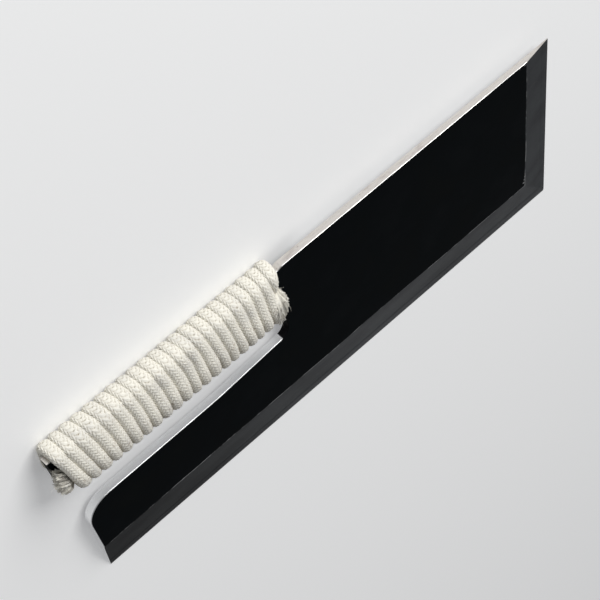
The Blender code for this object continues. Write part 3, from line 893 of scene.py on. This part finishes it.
@dataclass
class RopeRoute:
    """The wound rope's route: the CAD model's, but for a front end 1 mm nearer the spine."""

    forging: Forging
    diameter: float = 0.0048
    turn_gap: float = 0.0010
    first_turn_x: float = 0.0040
    first_turn_spread: float = 0.0015
    turns: int = 22
    lean_at_butt: float = 0.0056
    lean_at_front: float = 0.0002
    butt_end_y: float = -0.0135
    front_end_y: float = -0.0075
    tail_width: float = 0.0080
    tail_thickness: float = 0.0042
    tail_middle_y: float = -0.0162
    tail_front_space: float = 0.0038
    fit_gap: float = 0.0003
    steps_per_turn: int = 96

    def pitch(self) -> float:
        """Distance from turn to turn along the tang."""
        return self.diameter + self.turn_gap

    def turn_start(self, turn: int) -> float:
        """X where a turn passes the spine's front corner."""
        spread = self.first_turn_spread if turn > 0 else 0.0
        return self.first_turn_x + spread + self.pitch() * turn

    def tail_front(self) -> float:
        """X where the laid tail stops, under the last whole turn."""
        return self.turn_start(self.turns - 1) - self.tail_front_space

    def butt_mouth(self) -> float:
        """X where the tail comes out from under the first turn."""
        lean = self.lean_at_butt * self.lean_share(self.tail_middle_y, 0.0)
        return self.first_turn_x + lean - self.diameter / 2.0

    def core(self, x: float) -> list[Triple]:
        """What the rope is stretched round at X, as circles (y, z, radius)."""
        forging = self.forging
        front = forging.thickness(x)
        share = min(1.0, max(0.0, x / forging.tang_length))
        top = (forging.tang_butt_drop - forging.tang_shoulder_drop) * share - forging.tang_butt_drop
        low = forging.tang_lower_y
        circles = [(top, front, 0.0), (top, 0.0, 0.0), (low, front, 0.0), (low, 0.0, 0.0)]
        if x < self.tail_front() + self.diameter / 2.0:
            radius = self.tail_thickness / 2.0
            reach = (self.tail_width - self.tail_thickness) / 2.0
            height = front + self.fit_gap + radius
            circles.append((self.tail_middle_y + reach, height, radius))
            circles.append((self.tail_middle_y - reach, height, radius))
        return circles

    def centre(self, x: float, angle: float) -> Vector:
        """Rope centre (y, z) where the rope faces outward at the angle, from +Y to +Z."""
        outward = Vector((math.cos(angle), math.sin(angle)))
        y, z, radius = max(self.core(x), key=lambda c: outward.x * c[0] + outward.y * c[1] + c[2])
        return Vector((y, z)) + outward * (radius + self.fit_gap + self.diameter / 2.0)

    def lean_share(self, y: float, angle: float) -> float:
        """How much of its lean a turn has made: all of it happens on the front face."""
        if angle > math.pi:
            return 1.0
        top = -self.forging.tang_shoulder_drop
        return min(1.0, max(0.0, (top - y) / (top - self.forging.tang_lower_y)))

    def turn(self, index: int, lean: float) -> list[tuple[Vector, float]]:
        """Centre points of one turn, each with the angle that it faces."""
        start = self.turn_start(index)
        advance = self.turn_start(index + 1) - start
        step = 2.0 * math.pi / self.steps_per_turn
        angles = [step * (number + 0.5) for number in range(self.steps_per_turn)]
        section = [self.centre(start + advance * a / (2.0 * math.pi), a) for a in angles]
        lengths = [(after - before).length for before, after in zip(section, section[1:])]
        half_gap = (section[0] - section[-1]).length / 2.0
        whole = sum(lengths) + 2.0 * half_gap
        points = []
        travelled = half_gap
        for number, (y, z) in enumerate(section):
            steady = (advance - lean) * travelled / whole
            x = start + steady + lean * self.lean_share(y, angles[number])
            points.append((Vector((x, y, z)), angles[number]))
            if number < len(lengths):
                travelled += lengths[number]
        return points

    def whole(self) -> list[tuple[Vector, float]]:
        """The whole route, from the end on the back to the end on the front face."""
        back = self.steps_per_turn * 3 // 4 - 1
        path = self.turn(-1, self.lean_at_butt)[back:]
        first, second = path[0][0], path[1][0]
        share = (self.butt_end_y - first.y) / (second.y - first.y)
        path[0] = (first.lerp(second, share), path[0][1])
        for index in range(self.turns - 1):
            progress = index / (self.turns - 1)
            lean = self.lean_at_butt + (self.lean_at_front - self.lean_at_butt) * progress
            path += self.turn(index, lean)
        path += self.turn(self.turns - 1, self.lean_at_front)[: self.steps_per_turn // 4]
        last, angle = path[-1]
        path.append((Vector((last.x, self.front_end_y, last.z)), angle))
        return path


@dataclass
class Station:
    """One ring of the rope: where it is, how it is turned and how wide it is drawn."""

    centre: Vector
    outward: Vector
    side: Vector
    distance: float
    swell: float = 1.0
    width: float = 1.0


@dataclass(frozen=True)
class HandLaid:
    """How unevenly the turns were laid by hand, in millimetres.

    Each row is the gap after one turn: how far it lies from halfway between the even turns, at five
    spots along the turn, counted from the middle of the spine towards the front face.
    """

    spots: tuple[float, ...] = (-3.0, 3.0, 10.0, 18.0, 25.0)
    gaps: tuple[tuple[float, ...], ...] = (
        (0.1, 0.8, 0.5, 0.1, 0.3),
        (-1.4, 0.0, 0.2, -0.2, -0.6),
        (-0.8, 0.8, 1.1, 0.3, 0.0),
        (-0.1, 1.7, 1.7, 0.7, -0.3),
        (0.9, 2.3, 2.1, 1.0, 0.1),
        (1.1, 2.5, 2.6, 1.0, 0.1),
        (1.3, 2.6, 2.1, 1.0, -0.2),
        (1.2, 2.0, 2.0, 0.7, -0.1),
        (1.2, 2.3, 2.2, 1.0, 0.1),
        (1.6, 2.1, 2.2, 1.0, 0.2),
        (1.5, 2.3, 2.8, 1.7, 0.3),
        (0.8, 1.9, 2.5, 0.8, 0.1),
        (1.0, 1.8, 1.8, 0.5, 0.1),
        (0.9, 1.6, 1.6, 1.4, 0.6),
        (0.9, 1.2, 1.1, 0.5, 0.2),
        (0.7, 0.9, 0.9, 0.2, -0.6),
        (0.4, 0.7, 0.0, -0.7, -0.5),
        (0.0, 0.5, 0.1, -1.4, -1.1),
        (0.0, 0.3, -1.0, -2.1, -2.4),
        (0.1, -0.1, -0.9, -2.4, -2.1),
        (0.6, -1.2, -1.6, -2.0, -1.6),
    )
    first_spots: tuple[float, ...] = (-3.0, 0.0, 6.0, 11.0, 14.0, 18.0, 21.0)
    first_side: tuple[float, ...] = (0.3, 0.8, 1.2, 1.4, 1.1, 0.8, 0.0)
    end_spots: tuple[float, ...] = (-3.0, 0.0, 3.0, 6.0, 10.0)
    end_side: tuple[float, ...] = (-0.2, -0.5, -1.6, -2.8, -4.0)
    held_from: tuple[float, float] = (-15.0, -3.0)
    held_to: tuple[float, float] = (27.0, 40.0)

    def share(self, spot: float) -> float:
        """How far the uneven laying counts at a spot: not at all on the flat back."""
        rising = (spot - self.held_from[0]) / (self.held_from[1] - self.held_from[0])
        falling = (self.held_to[1] - spot) / (self.held_to[1] - self.held_to[0])
        return smooth_step(rising) * smooth_step(falling)

    def between(self, spots: Sequence[float], values: Sequence[float], spot: float) -> float:
        """Value at a spot, read between the two nearest ones."""
        if spot <= spots[0]:
            return values[0]
        for number in range(1, len(spots)):
            if spot < spots[number]:
                span = spots[number] - spots[number - 1]
                part = (spot - spots[number - 1]) / span
                return values[number - 1] + (values[number] - values[number - 1]) * part
        return values[-1]

    def sides(self, turn: int, along: float, before: float, after: float) -> tuple[float, float]:
        """Where a turn's two sides lie.

        Args:
            turn: Which turn.
            along: How far along it, in metres, from the middle of the spine.
            before: Distance to the even turn before it.
            after: Distance to the even turn after it.

        Returns:
            Both sides, along the tang, from the even turn's middle.
        """
        spot = along / MM
        share = self.share(spot) * MM
        low, high = (self.first_spots, self.first_side), (self.end_spots, self.end_side)
        if turn > 0:
            low = (self.spots, self.gaps[turn - 1])
        if turn < len(self.gaps):
            high = (self.spots, self.gaps[turn])
        low_side = -before / 2.0 + share * self.between(*low, spot)
        return low_side, after / 2.0 + share * self.between(*high, spot)


@dataclass
class Braid:
    """Height of a braid's stitches: strands over two and under two, in columns along the rope."""

    strands: int = 14
    stitch: float = 0.00185
    strand_round: float = 0.00036
    strand_float: float = 0.00022

    def height(self, distance: float, round_share: float) -> tuple[float, float]:
        """Height of the braid's surface.

        Args:
            distance: How far along the rope.
            round_share: How far round it, from 0 to 1.

        Returns:
            The height above the rope's body, and 1 where the strands that run one way lie on top
            or 0 where the others do.
        """
        first = distance / self.stitch + self.strands * round_share
        second = distance / self.stitch - self.strands * round_share
        over = self.one_way(first, second, 0.0)
        under = self.one_way(second, first, 3.0)
        return max(over, under), float(over > under)

    def one_way(self, across: float, along: float, shift: float) -> float:
        """Height of the strands that run one way."""
        strand = math.floor(across)
        bulge = 1.0 - (2.0 * (across - strand) - 1.0) ** 2
        floats = math.cos(math.pi / 2.0 * (along - strand - shift))
        return self.strand_round * bulge + self.strand_float * (floats + 1.0)

    def full(self) -> float:
        """Greatest height of a stitch."""
        return self.strand_round + 2.0 * self.strand_float


@dataclass
class WoundRope:
    """The braided rope wound round the tang, pressed flat between its turns and on the floor."""

    route: RopeRoute
    braid: Braid
    laid: HandLaid = HandLaid()
    half_width: float = 0.00254
    half_height: float = 0.00214
    inner_height: float = 0.00218
    outer_squareness: float = 2.12
    spine_squareness: float = 3.3
    inner_squareness: float = 2.5
    ring_space: float = 0.00030
    sides: int = 70
    pieces: int = 5
    corner_smoothing: int = 5
    nudge_smoothing: int = 7
    wander: float = 0.00012
    swell_range: float = 0.030
    narrowest: float = 0.45
    widest: float = 1.30
    counted_before_spine: float = 0.020
    floor_clearance: float = 0.00002
    end_neck: float = 0.72
    neck_length: float = 0.0060
    crown_before_end: float = 0.0125
    crown_length: float = 0.0055
    crown_swell: float = 0.05
    crown_lift: float = 0.0003
    seat_from: float = 0.55

    def even_spots(self) -> tuple[list[Vector], list[Vector], list[float], float]:
        """The evenly wound route at even distances.

        Returns:
            Its points, the ways they face, the distance where each turn starts, and its length.
        """
        raw = self.route.whole()
        lengths = [0.0]
        starts = []
        for (before, facing), (after, next_facing) in zip(raw, raw[1:]):
            step = (after - before).length
            if next_facing < facing:
                left = 2.0 * math.pi - facing
                starts.append(lengths[-1] + step * left / (left + next_facing))
            lengths.append(lengths[-1] + step)
        count = int(lengths[-1] / self.ring_space)
        points, outs = [], []
        cursor = 0
        for number in range(count + 1):
            wanted = lengths[-1] * number / count
            while cursor < len(raw) - 2 and lengths[cursor + 1] < wanted:
                cursor += 1
            span = lengths[cursor + 1] - lengths[cursor]
            share = (wanted - lengths[cursor]) / span if span > 0.0 else 0.0
            points.append(raw[cursor][0].lerp(raw[cursor + 1][0], share))
            first, second = raw[cursor][1], raw[cursor + 1][1]
            if second < first:
                second += 2.0 * math.pi
            angle = first + (second - first) * share
            outs.append(Vector((0.0, math.cos(angle), math.sin(angle))))
        points = self.smoothed(points, self.corner_smoothing)
        outs = self.smoothed(outs, self.corner_smoothing)
        return points, outs, starts, lengths[-1]

    def nudges(
        self, points: Sequence[Vector], starts: Sequence[float], whole: float
    ) -> list[Vector]:
        """How far each ring is laid aside (X) and how wide it is drawn (Y)."""
        count = len(points) - 1
        pitch = self.route.pitch()
        nudges = []
        turn = -1
        for number, point in enumerate(points):
            distance = whole * number / count
            early = distance + self.counted_before_spine
            while turn + 1 < len(starts) and early > starts[turn + 1]:
                turn += 1
            if turn < 0:
                nudges.append(Vector((0.0, 1.0, 0.0)))
                continue
            gaps = [pitch, pitch]
            along = distance - starts[turn]
            for slot, other in enumerate((turn - 1, turn + 1)):
                if 0 <= other < len(starts):
                    spot = (starts[other] + along) / whole * count
                    if 0 <= spot <= count:
                        gaps[slot] = abs(points[int(spot)].x - point.x)
            low, high = self.laid.sides(turn, along, *gaps)
            nudges.append(Vector(((low + high) / 2.0, (high - low) / pitch, 0.0)))
        return self.smoothed(nudges, self.nudge_smoothing)

    def stations(self) -> list[Station]:
        """Rings at an even distance along the smoothed and hand-laid route."""
        points, outs, starts, whole = self.even_spots()
        nudges = self.nudges(points, starts, whole)
        for point, nudge in zip(points, nudges):
            point.x += nudge.x
        count = len(points) - 1
        stations = []
        for number, (point, out) in enumerate(zip(points, outs)):
            ahead = points[min(number + 2, count)]
            behind = points[max(number - 2, 0)]
            along = (ahead - behind).normalized()
            side = along.cross(out).normalized()
            outward = side.cross(along).normalized()
            distance = whole * number / count
            drift = noise.noise(Vector((distance * 26.0, 3.1, 0.7))) * self.wander
            lift = noise.noise(Vector((distance * 31.0, 8.4, 2.2))) * self.wander
            swell = noise.noise(Vector((distance * 55.0, 0.3, 5.5)))
            swell = 1.0 + self.swell_range * swell
            width = min(self.widest, max(self.narrowest, nudges[number].y * abs(side.x)))
            centre = point + side * drift + outward * lift
            stations.append(Station(centre, outward, side, distance, swell, width))
        self.shape_ends(stations)
        return stations

    def smoothed(self, values: list[Vector], reach: int) -> list[Vector]:
        """Each value averaged with its neighbours up to a reach, twice over."""
        for _ in range(2):
            spread = []
            for number in range(len(values)):
                low = max(0, number - reach)
                high = min(len(values), number + reach + 1)
                least = min(number - low, high - 1 - number)
                window = values[number - least : number + least + 1]
                spread.append(sum(window, Vector((0.0, 0.0, 0.0))) / len(window))
            values = spread
        return values

    def shape_ends(self, stations: list[Station]) -> None:
        """Draw the last stretch in to the neck that the frayed end opens from."""
        whole = stations[-1].distance
        for station in stations:
            left = whole - station.distance
            neck = smooth_step(1.0 - left / self.neck_length)
            station.swell *= 1.0 - (1.0 - self.end_neck) * neck
            crown = math.exp(-(((left - self.crown_before_end) / self.crown_length) ** 2))
            station.swell *= 1.0 + self.crown_swell * crown
            station.centre += station.outward * (self.crown_lift * crown)

    def ring_point(self, station: Station, share: float) -> tuple[Vector, float, float, float]:
        """Point of the rope's surface.

        Args:
            station: The ring.
            share: How far round the ring, from 0 to 1, starting on the outside.

        Returns:
            The point, how high the braid stands there from 0 to 1, which way its upper strand
            runs, and how deep the point sits between the turns from 0 to 1.
        """
        turn = 2.0 * math.pi * share
        cosine, sine = math.cos(turn), math.sin(turn)
        is_outer = cosine > 0.0
        pressed = smooth_step((station.outward.y - 0.45) / 0.45)
        outer = self.outer_squareness + (self.spine_squareness - self.outer_squareness) * pressed
        power = 2.0 / (outer if is_outer else self.inner_squareness)
        height = self.half_height if is_outer else self.inner_height
        out = math.copysign(abs(cosine) ** power, cosine) * height * station.swell
        aside = math.copysign(abs(sine) ** power, sine) * self.half_width
        aside *= station.swell * station.width
        stitch, lead = self.braid.height(station.distance, share)
        reach = math.hypot(out, aside)
        grow = 1.0 + stitch / reach
        place = station.centre + station.outward * (out * grow) + station.side * (aside * grow)
        seat = 1.0 if not is_outer else (abs(sine) - self.seat_from) / (1.0 - self.seat_from)
        return place, stitch / self.braid.full(), lead, smooth_step(seat)

    def tube(self, stations: Sequence[Station]) -> bmesh.types.BMesh:
        """Roll a grid into the braided tube along the rings, and close its two ends."""
        shape = bmesh.new()
        rings = len(stations) - 1
        bmesh.ops.create_grid(shape, x_segments=rings, y_segments=self.sides, size=0.5)
        chart = shape.loops.layers.uv.new("braid")
        for face in shape.faces:
            for loop in face.loops:
                station = stations[round((loop.vert.co.x + 0.5) * rings)]
                round_share = loop.vert.co.y + 0.5
                run = station.distance / self.braid.stitch
                loop[chart].uv = (run, self.braid.strands * round_share)
        layers = [shape.verts.layers.float.new(name) for name in ("lift", "lead", "seat")]
        for vertex in shape.verts:
            station = stations[round((vertex.co.x + 0.5) * rings)]
            share = round((vertex.co.y + 0.5) * self.sides) / self.sides
            vertex.co, *marks = self.ring_point(station, share % 1.0)
            for layer, value in zip(layers, marks):
                vertex[layer] = value
        bmesh.ops.remove_doubles(shape, verts=shape.verts, dist=TOUCHING)
        borders = [edge for edge in shape.edges if edge.is_boundary]
        bmesh.ops.edgeloop_fill(shape, edges=borders)
        bmesh.ops.recalc_face_normals(shape, faces=shape.faces)
        return shape

    def rest_on_floor(self, shape: bmesh.types.BMesh) -> None:
        """Press flat what would reach below the floor."""
        laid = LAID.matrix()
        up = laid.inverted().to_3x3() @ Vector((0.0, 0.0, 1.0))
        for vertex in shape.verts:
            height = (laid @ vertex.co).z
            if height < self.floor_clearance:
                vertex.co += up * (self.floor_clearance - height)

    def build(self, material: bpy.types.Material) -> None:
        """Make the winding in stretches that meet end to end."""
        stations = self.stations()
        share = (len(stations) - 1) / self.pieces
        for number in range(self.pieces):
            first, last = round(share * number), round(share * (number + 1))
            shape = self.tube(stations[first : last + 1])
            self.rest_on_floor(shape)
            name = f"wound_rope_{number + 1}"
            mesh = as_mesh(name, shape)
            add_piece(name, mesh, [material], "rope_winding", CURVED_DEGREES)
        LOG.info("rope length in the winding: %.3f m", stations[-1].distance)


@dataclass
class LaidTail:
    """The rope's flattened tail, laid along the tang's front face under the turns."""

    route: RopeRoute
    braid: Braid
    squareness: float = 2.3
    stitch_room: float = 0.0003
    past_mouth: float = 0.0006

    def build(self, material: bpy.types.Material) -> None:
        """Make the tail as one braided strand."""
        route = self.route
        half_height = route.tail_thickness / 2.0 - self.stitch_room
        strand = WoundRope(
            route,
            self.braid,
            half_width=route.tail_width / 2.0 - self.stitch_room,
            half_height=half_height,
            inner_height=half_height,
            outer_squareness=self.squareness,
            spine_squareness=self.squareness,
            inner_squareness=self.squareness,
        )
        start, end = route.tail_front(), route.butt_mouth() - self.past_mouth
        count = int((start - end) / strand.ring_space)
        stations = []
        for number in range(count + 1):
            x = start + (end - start) * number / count
            height = route.forging.thickness(x) + route.fit_gap + route.tail_thickness / 2.0
            centre = Vector((x, route.tail_middle_y, height))
            out, side = Vector((0.0, 0.0, 1.0)), Vector((0.0, 1.0, 0.0))
            stations.append(Station(centre, out, side, start - x))
        mesh = as_mesh("laid_tail", strand.tube(stations))
        add_piece("laid_tail", mesh, [material], "rope_tail", CURVED_DEGREES)


# --------------------------------------------------------------------------- the frayed ends


class Tone(Enum):
    """How soiled a frayed strand is, from 0 to 1."""

    CREAM = 0.0
    GREYED = 0.30
    BROWNED = 0.62


@dataclass(frozen=True)
class Spray:
    """How a frayed end's outermost strands lie, from its one side to the other.

    Points are in millimetres in the knife's frame, with the height above the front face as Z.
    """

    mouths: tuple[Triple, ...]
    crowns: tuple[Triple, ...]
    tips: tuple[Triple, ...]
    depth: float

    def point(self, row: Sequence[Triple], share: float) -> Vector:
        """Point on a row at a share of the way along it."""
        spot = min(1.0, max(0.0, share)) * (len(row) - 1)
        index = min(int(spot), len(row) - 2)
        return Vector(row[index]).lerp(Vector(row[index + 1]), spot - index) * MM


def toss(chance: random.Random) -> Vector:
    """A random offset of up to 1 along each axis."""
    return Vector([chance.uniform(-1.0, 1.0) for _ in range(3)])


@dataclass
class FrayedEnd:
    """Where the rope is cut: its strands spring apart, each a bundle of crimped yarns."""

    name: str
    node: str
    forging: Forging
    spray: Spray
    seed: int
    strands: int
    curl: float = 0.0006
    yarns: int = 15
    yarn_radius: float = 0.00012
    strand_radius: float = 0.00050
    crimp: float = 0.00024
    crimp_length: float = 0.0032
    hairs: int = 34
    hair_radius: float = 0.00004
    joints: int = 12
    tone_weights: Triple = (0.62, 0.28, 0.10)
    crisp_degrees: float = 60.0

    def strand_curve(self, name: str, radius: float) -> bpy.types.Curve:
        """An empty round curve of the radius."""
        curve = bpy.data.curves.new(name, "CURVE")
        curve.dimensions = "3D"
        curve.bevel_depth = radius
        curve.bevel_resolution = 0
        curve.use_fill_caps = True
        curve.resolution_u = 1
        return curve

    def add_yarn(
        self, curve: bpy.types.Curve, points: Sequence[Vector], radii: Sequence[float]
    ) -> None:
        """Add one yarn through the points."""
        spline = curve.splines.new("POLY")
        spline.points.add(len(points) - 1)
        for target, point, radius in zip(spline.points, points, radii):
            target.co = (*point, 1.0)
            target.radius = radius

    def strand_path(self, number: int, chance: random.Random) -> list[Vector]:
        """Middle line of one strand, from inside the rope to its cut tip.

        Args:
            number: Which strand.
            chance: The tuft's own random numbers.

        Returns:
            The points of the line.
        """
        spray = self.spray
        share = (number * GOLDEN_SHARE) % 1.0
        level = (number / (self.strands - 1)) ** 1.6 * spray.depth * MM
        start = spray.point(spray.mouths, share)
        control = spray.point(spray.crowns, share)
        tip = spray.point(spray.tips, share)
        tip = control.lerp(tip, chance.uniform(0.80, 1.04))
        for point, fall in ((start, 0.7), (control, 1.0), (tip, 0.8)):
            point.z = max(0.0006, point.z - level * fall)
            point.z += self.forging.thickness(point.x)
        control += toss(chance) * self.curl
        tip += toss(chance) * (self.curl * 0.7)
        length = (control - start).length + (tip - control).length
        heading = (tip - start).normalized()
        across = Vector((0.0, 0.0, 1.0)).cross(heading).normalized()
        phase = chance.uniform(0.0, 2.0 * math.pi)
        path = []
        for joint in range(self.joints):
            part = joint / (self.joints - 1)
            point = start.lerp(control, part).lerp(control.lerp(tip, part), part)
            turn = phase + part * length / self.crimp_length * 2.0 * math.pi
            wave = across * math.sin(turn) + Vector((0.0, 0.0, math.cos(turn)))
            path.append(point + wave * (self.crimp * min(1.0, part * 3.0)))
        return path

    def add_strand(
        self, curve: bpy.types.Curve, path: Sequence[Vector], chance: random.Random
    ) -> None:
        """Lay one strand's yarns round its middle line, loosening towards the tip."""
        heading = (path[-1] - path[0]).normalized()
        across = heading.cross(Vector((0.0, 0.0, 1.0))).normalized()
        above = across.cross(heading).normalized()
        twist = chance.uniform(1.2, 2.6)
        for _ in range(self.yarns):
            turn = chance.uniform(0.0, 2.0 * math.pi)
            depth = math.sqrt(chance.uniform(0.05, 1.0)) * self.strand_radius
            reach = chance.uniform(0.88, 1.0)
            flare = chance.uniform(0.0, 0.8)
            points, radii = [], []
            for joint in range(self.joints):
                part = reach * joint / (self.joints - 1)
                spot = part * (self.joints - 1)
                index = min(int(spot), self.joints - 2)
                middle = path[index].lerp(path[index + 1], spot - index)
                pinch = 0.55 + 0.45 * smooth_step(part / 0.4)
                radius = depth * (pinch + flare * part**3)
                side = turn + twist * part
                points.append(middle + (across * math.cos(side) + above * math.sin(side)) * radius)
                radii.append(chance.uniform(0.85, 1.15))
            self.add_yarn(curve, points, radii)

    def add_hair(
        self, curve: bpy.types.Curve, path: Sequence[Vector], chance: random.Random
    ) -> None:
        """Let one loose fibre stand off a strand."""
        base = path[chance.randrange(len(path) // 3, len(path))]
        heading = (path[-1] - path[0]).normalized()
        away = toss(chance) * 0.7
        away.z = abs(away.z)
        bend = toss(chance) * 0.7
        length = chance.uniform(0.0010, 0.0026)
        parts = [joint / 4.0 for joint in range(5)]
        points = [base + (heading + away + bend * part) * (length * part) for part in parts]
        self.add_yarn(curve, points, [1.0, 0.95, 0.85, 0.7, 0.4])

    def curve_mesh(self, curve: bpy.types.Curve, tone: Tone) -> bpy.types.Mesh:
        """The curve's mesh, with what its finish reads."""
        mesh = settled_mesh(stand(curve.name, curve))
        bpy.data.curves.remove(curve)
        waves = [noise.noise(vertex.co * 700.0) for vertex in mesh.vertices]
        keep(mesh, "lift", [0.80 + 0.30 * wave for wave in waves])
        keep(mesh, "soiled", [tone.value] * len(waves))
        return mesh

    def build(self, material: bpy.types.Material) -> None:
        """Make the tuft's strands, sorted by how soiled they are, and its loose fibres."""
        chance = random.Random(self.seed)
        curves = {
            tone: self.strand_curve(f"{self.name}_{tone.name.lower()}", self.yarn_radius)
            for tone in Tone
        }
        fibres = self.strand_curve(f"{self.name}_fibres", self.hair_radius)
        paths = []
        for number in range(self.strands):
            paths.append(self.strand_path(number, chance))
            tone = chance.choices(list(Tone), weights=self.tone_weights)[0]
            self.add_strand(curves[tone], paths[-1], chance)
        for _ in range(self.hairs):
            self.add_hair(fibres, chance.choice(paths), chance)
        meshes = {tone.name.lower(): self.curve_mesh(curve, tone) for tone, curve in curves.items()}
        meshes["fibres"] = self.curve_mesh(fibres, Tone.CREAM)
        for part, mesh in meshes.items():
            name = f"{self.name}_{part}"
            add_piece(name, mesh, [material], self.node, self.crisp_degrees)


# --------------------------------------------------------------------------- the studio


@dataclass(frozen=True)
class Studio:
    """A pale floor, soft light from the spine's side and the photograph's viewpoint."""

    floor_colour: Triple = (0.88, 0.88, 0.87)
    floor_cloud: Triple = (0.83, 0.83, 0.82)
    floor_glow: float = 0.22
    surround: Triple = (0.238, 0.240, 0.246)
    key_place: Triple = (0.86, 1.79, 0.94)
    key_size: float = 1.3
    key_power: float = 44.5
    camera_place: Triple = (-0.26733467, 0.6291432871, 0.3990167707)
    camera_turn: tuple[Triple, ...] = (
        (0.72315173, 0.60585775, -0.33164434),
        (-0.1342894, 0.59433348, 0.79292754),
        (0.67750862, -0.5288706, 0.51115356),
    )
    lens: float = 101.11288824837337

    def floor(self) -> None:
        """Lay the floor."""
        shape = bmesh.new()
        bmesh.ops.create_grid(shape, x_segments=8, y_segments=8, size=6.0)
        mesh = as_mesh("floor", shape)
        bench = NodeBench("floor")
        place = bench.add("ShaderNodeTexCoord", {}).outputs["Object"]
        tone = bench.fade(bench.noise(place, 3.0, 2.0), 0.3, 0.7, 0.0, 0.04)
        colour = bench.blend(tone, self.floor_colour, self.floor_cloud)
        rays = bench.add("ShaderNodeLightPath", {}).outputs
        seen = bench.math("MAXIMUM", rays["Is Camera Ray"], rays["Is Glossy Ray"])
        seen = bench.math("MAXIMUM", seen, rays["Is Transmission Ray"])
        mesh.materials.append(
            bench.dress(
                Base_Color=colour,
                Roughness=0.80,
                Emission_Color=(0.97, 0.98, 1.0),
                Emission_Strength=bench.times(seen, self.floor_glow),
            )
        )
        floor = stand("floor", mesh)

    def lamp(self) -> None:
        """Hang the one soft square lamp, facing the knife."""
        light = bpy.data.lights.new("key", "AREA")
        light.size = self.key_size
        light.energy = self.key_power
        heading = -Vector(self.key_place)
        turn = heading.to_track_quat("-Z", "Y").to_matrix().to_4x4()
        stand("key", light).matrix_world = Matrix.Translation(self.key_place) @ turn

    def world(self) -> None:
        """Give the room an even soft grey."""
        world = bpy.data.worlds.new("studio")
        world.use_nodes = True
        backdrop = world.node_tree.nodes["Background"]
        backdrop.inputs["Color"].default_value = (*self.surround, 1.0)
        backdrop.inputs["Strength"].default_value = 1.0
        bpy.context.scene.world = world

    def camera(self) -> None:
        """Stand the camera where the photograph was taken."""
        data = bpy.data.cameras.new("camera")
        data.sensor_width = 36.0
        data.lens = self.lens
        data.clip_start = 0.01
        camera = stand("camera", data)
        turn = Matrix(self.camera_turn).to_4x4()
        camera.matrix_world = Matrix.Translation(self.camera_place) @ turn
        bpy.context.scene.camera = camera

    def build(self) -> None:
        """Set up the whole studio."""
        self.floor()
        self.world()
        self.lamp()
        self.camera()
        bpy.context.scene.view_settings.view_transform = "Standard"


def build_knife() -> None:
    """Make every piece of the knife."""
    forging = Forging()
    forging.build()
    route = RopeRoute(forging)
    cotton = CottonFinish().material()
    braid = Braid()
    WoundRope(route, braid).build(cotton)
    LaidTail(route, braid).build(cotton)
    FrayedEnd(
        name="butt_fray",
        node="rope_tail",
        forging=forging,
        spray=Spray(
            mouths=((7.0, -12.9, 3.6), (7.0, -16.2, 4.2), (7.0, -20.0, 3.4)),
            crowns=((4.2, -10.0, 6.0), (2.0, -13.5, 8.5), (3.4, -20.5, 8.0)),
            tips=(
                (1.2, -7.9, 3.4),
                (-1.0, -9.8, 3.4),
                (-1.6, -15.2, 4.6),
                (-0.8, -19.6, 5.0),
                (2.2, -23.4, 4.4),
            ),
            depth=4.4,
        ),
        seed=11,
        curl=0.0011,
        strands=40,
    ).build(cotton)
    FrayedEnd(
        name="front_fray",
        node="rope_end_front",
        forging=forging,
        spray=Spray(
            mouths=((124.2, -6.9, 5.0), (125.6, -6.3, 4.6), (126.6, -5.8, 4.0)),
            crowns=(
                (119.8, -9.0, 12.3),
                (122.0, -9.0, 12.8),
                (124.6, -9.0, 12.6),
                (126.2, -8.6, 12.0),
                (127.5, -7.0, 9.6),
            ),
            tips=(
                (120.6, -21.6, 9.8),
                (122.6, -23.0, 9.0),
                (124.8, -23.4, 8.2),
                (127.0, -22.2, 7.4),
                (127.9, -18.8, 7.2),
                (128.5, -16.3, 7.0),
                (129.6, -13.6, 6.8),
                (129.0, -10.2, 5.8),
            ),
            depth=6.0,
        ),
        seed=23,
        strands=72,
    ).build(cotton)


def main() -> None:
    """Build the studio and the knife."""
    logging.basicConfig(level=logging.INFO, format="%(message)s")
    Studio().build()
    build_knife()


if __name__ == "__main__":
    main()
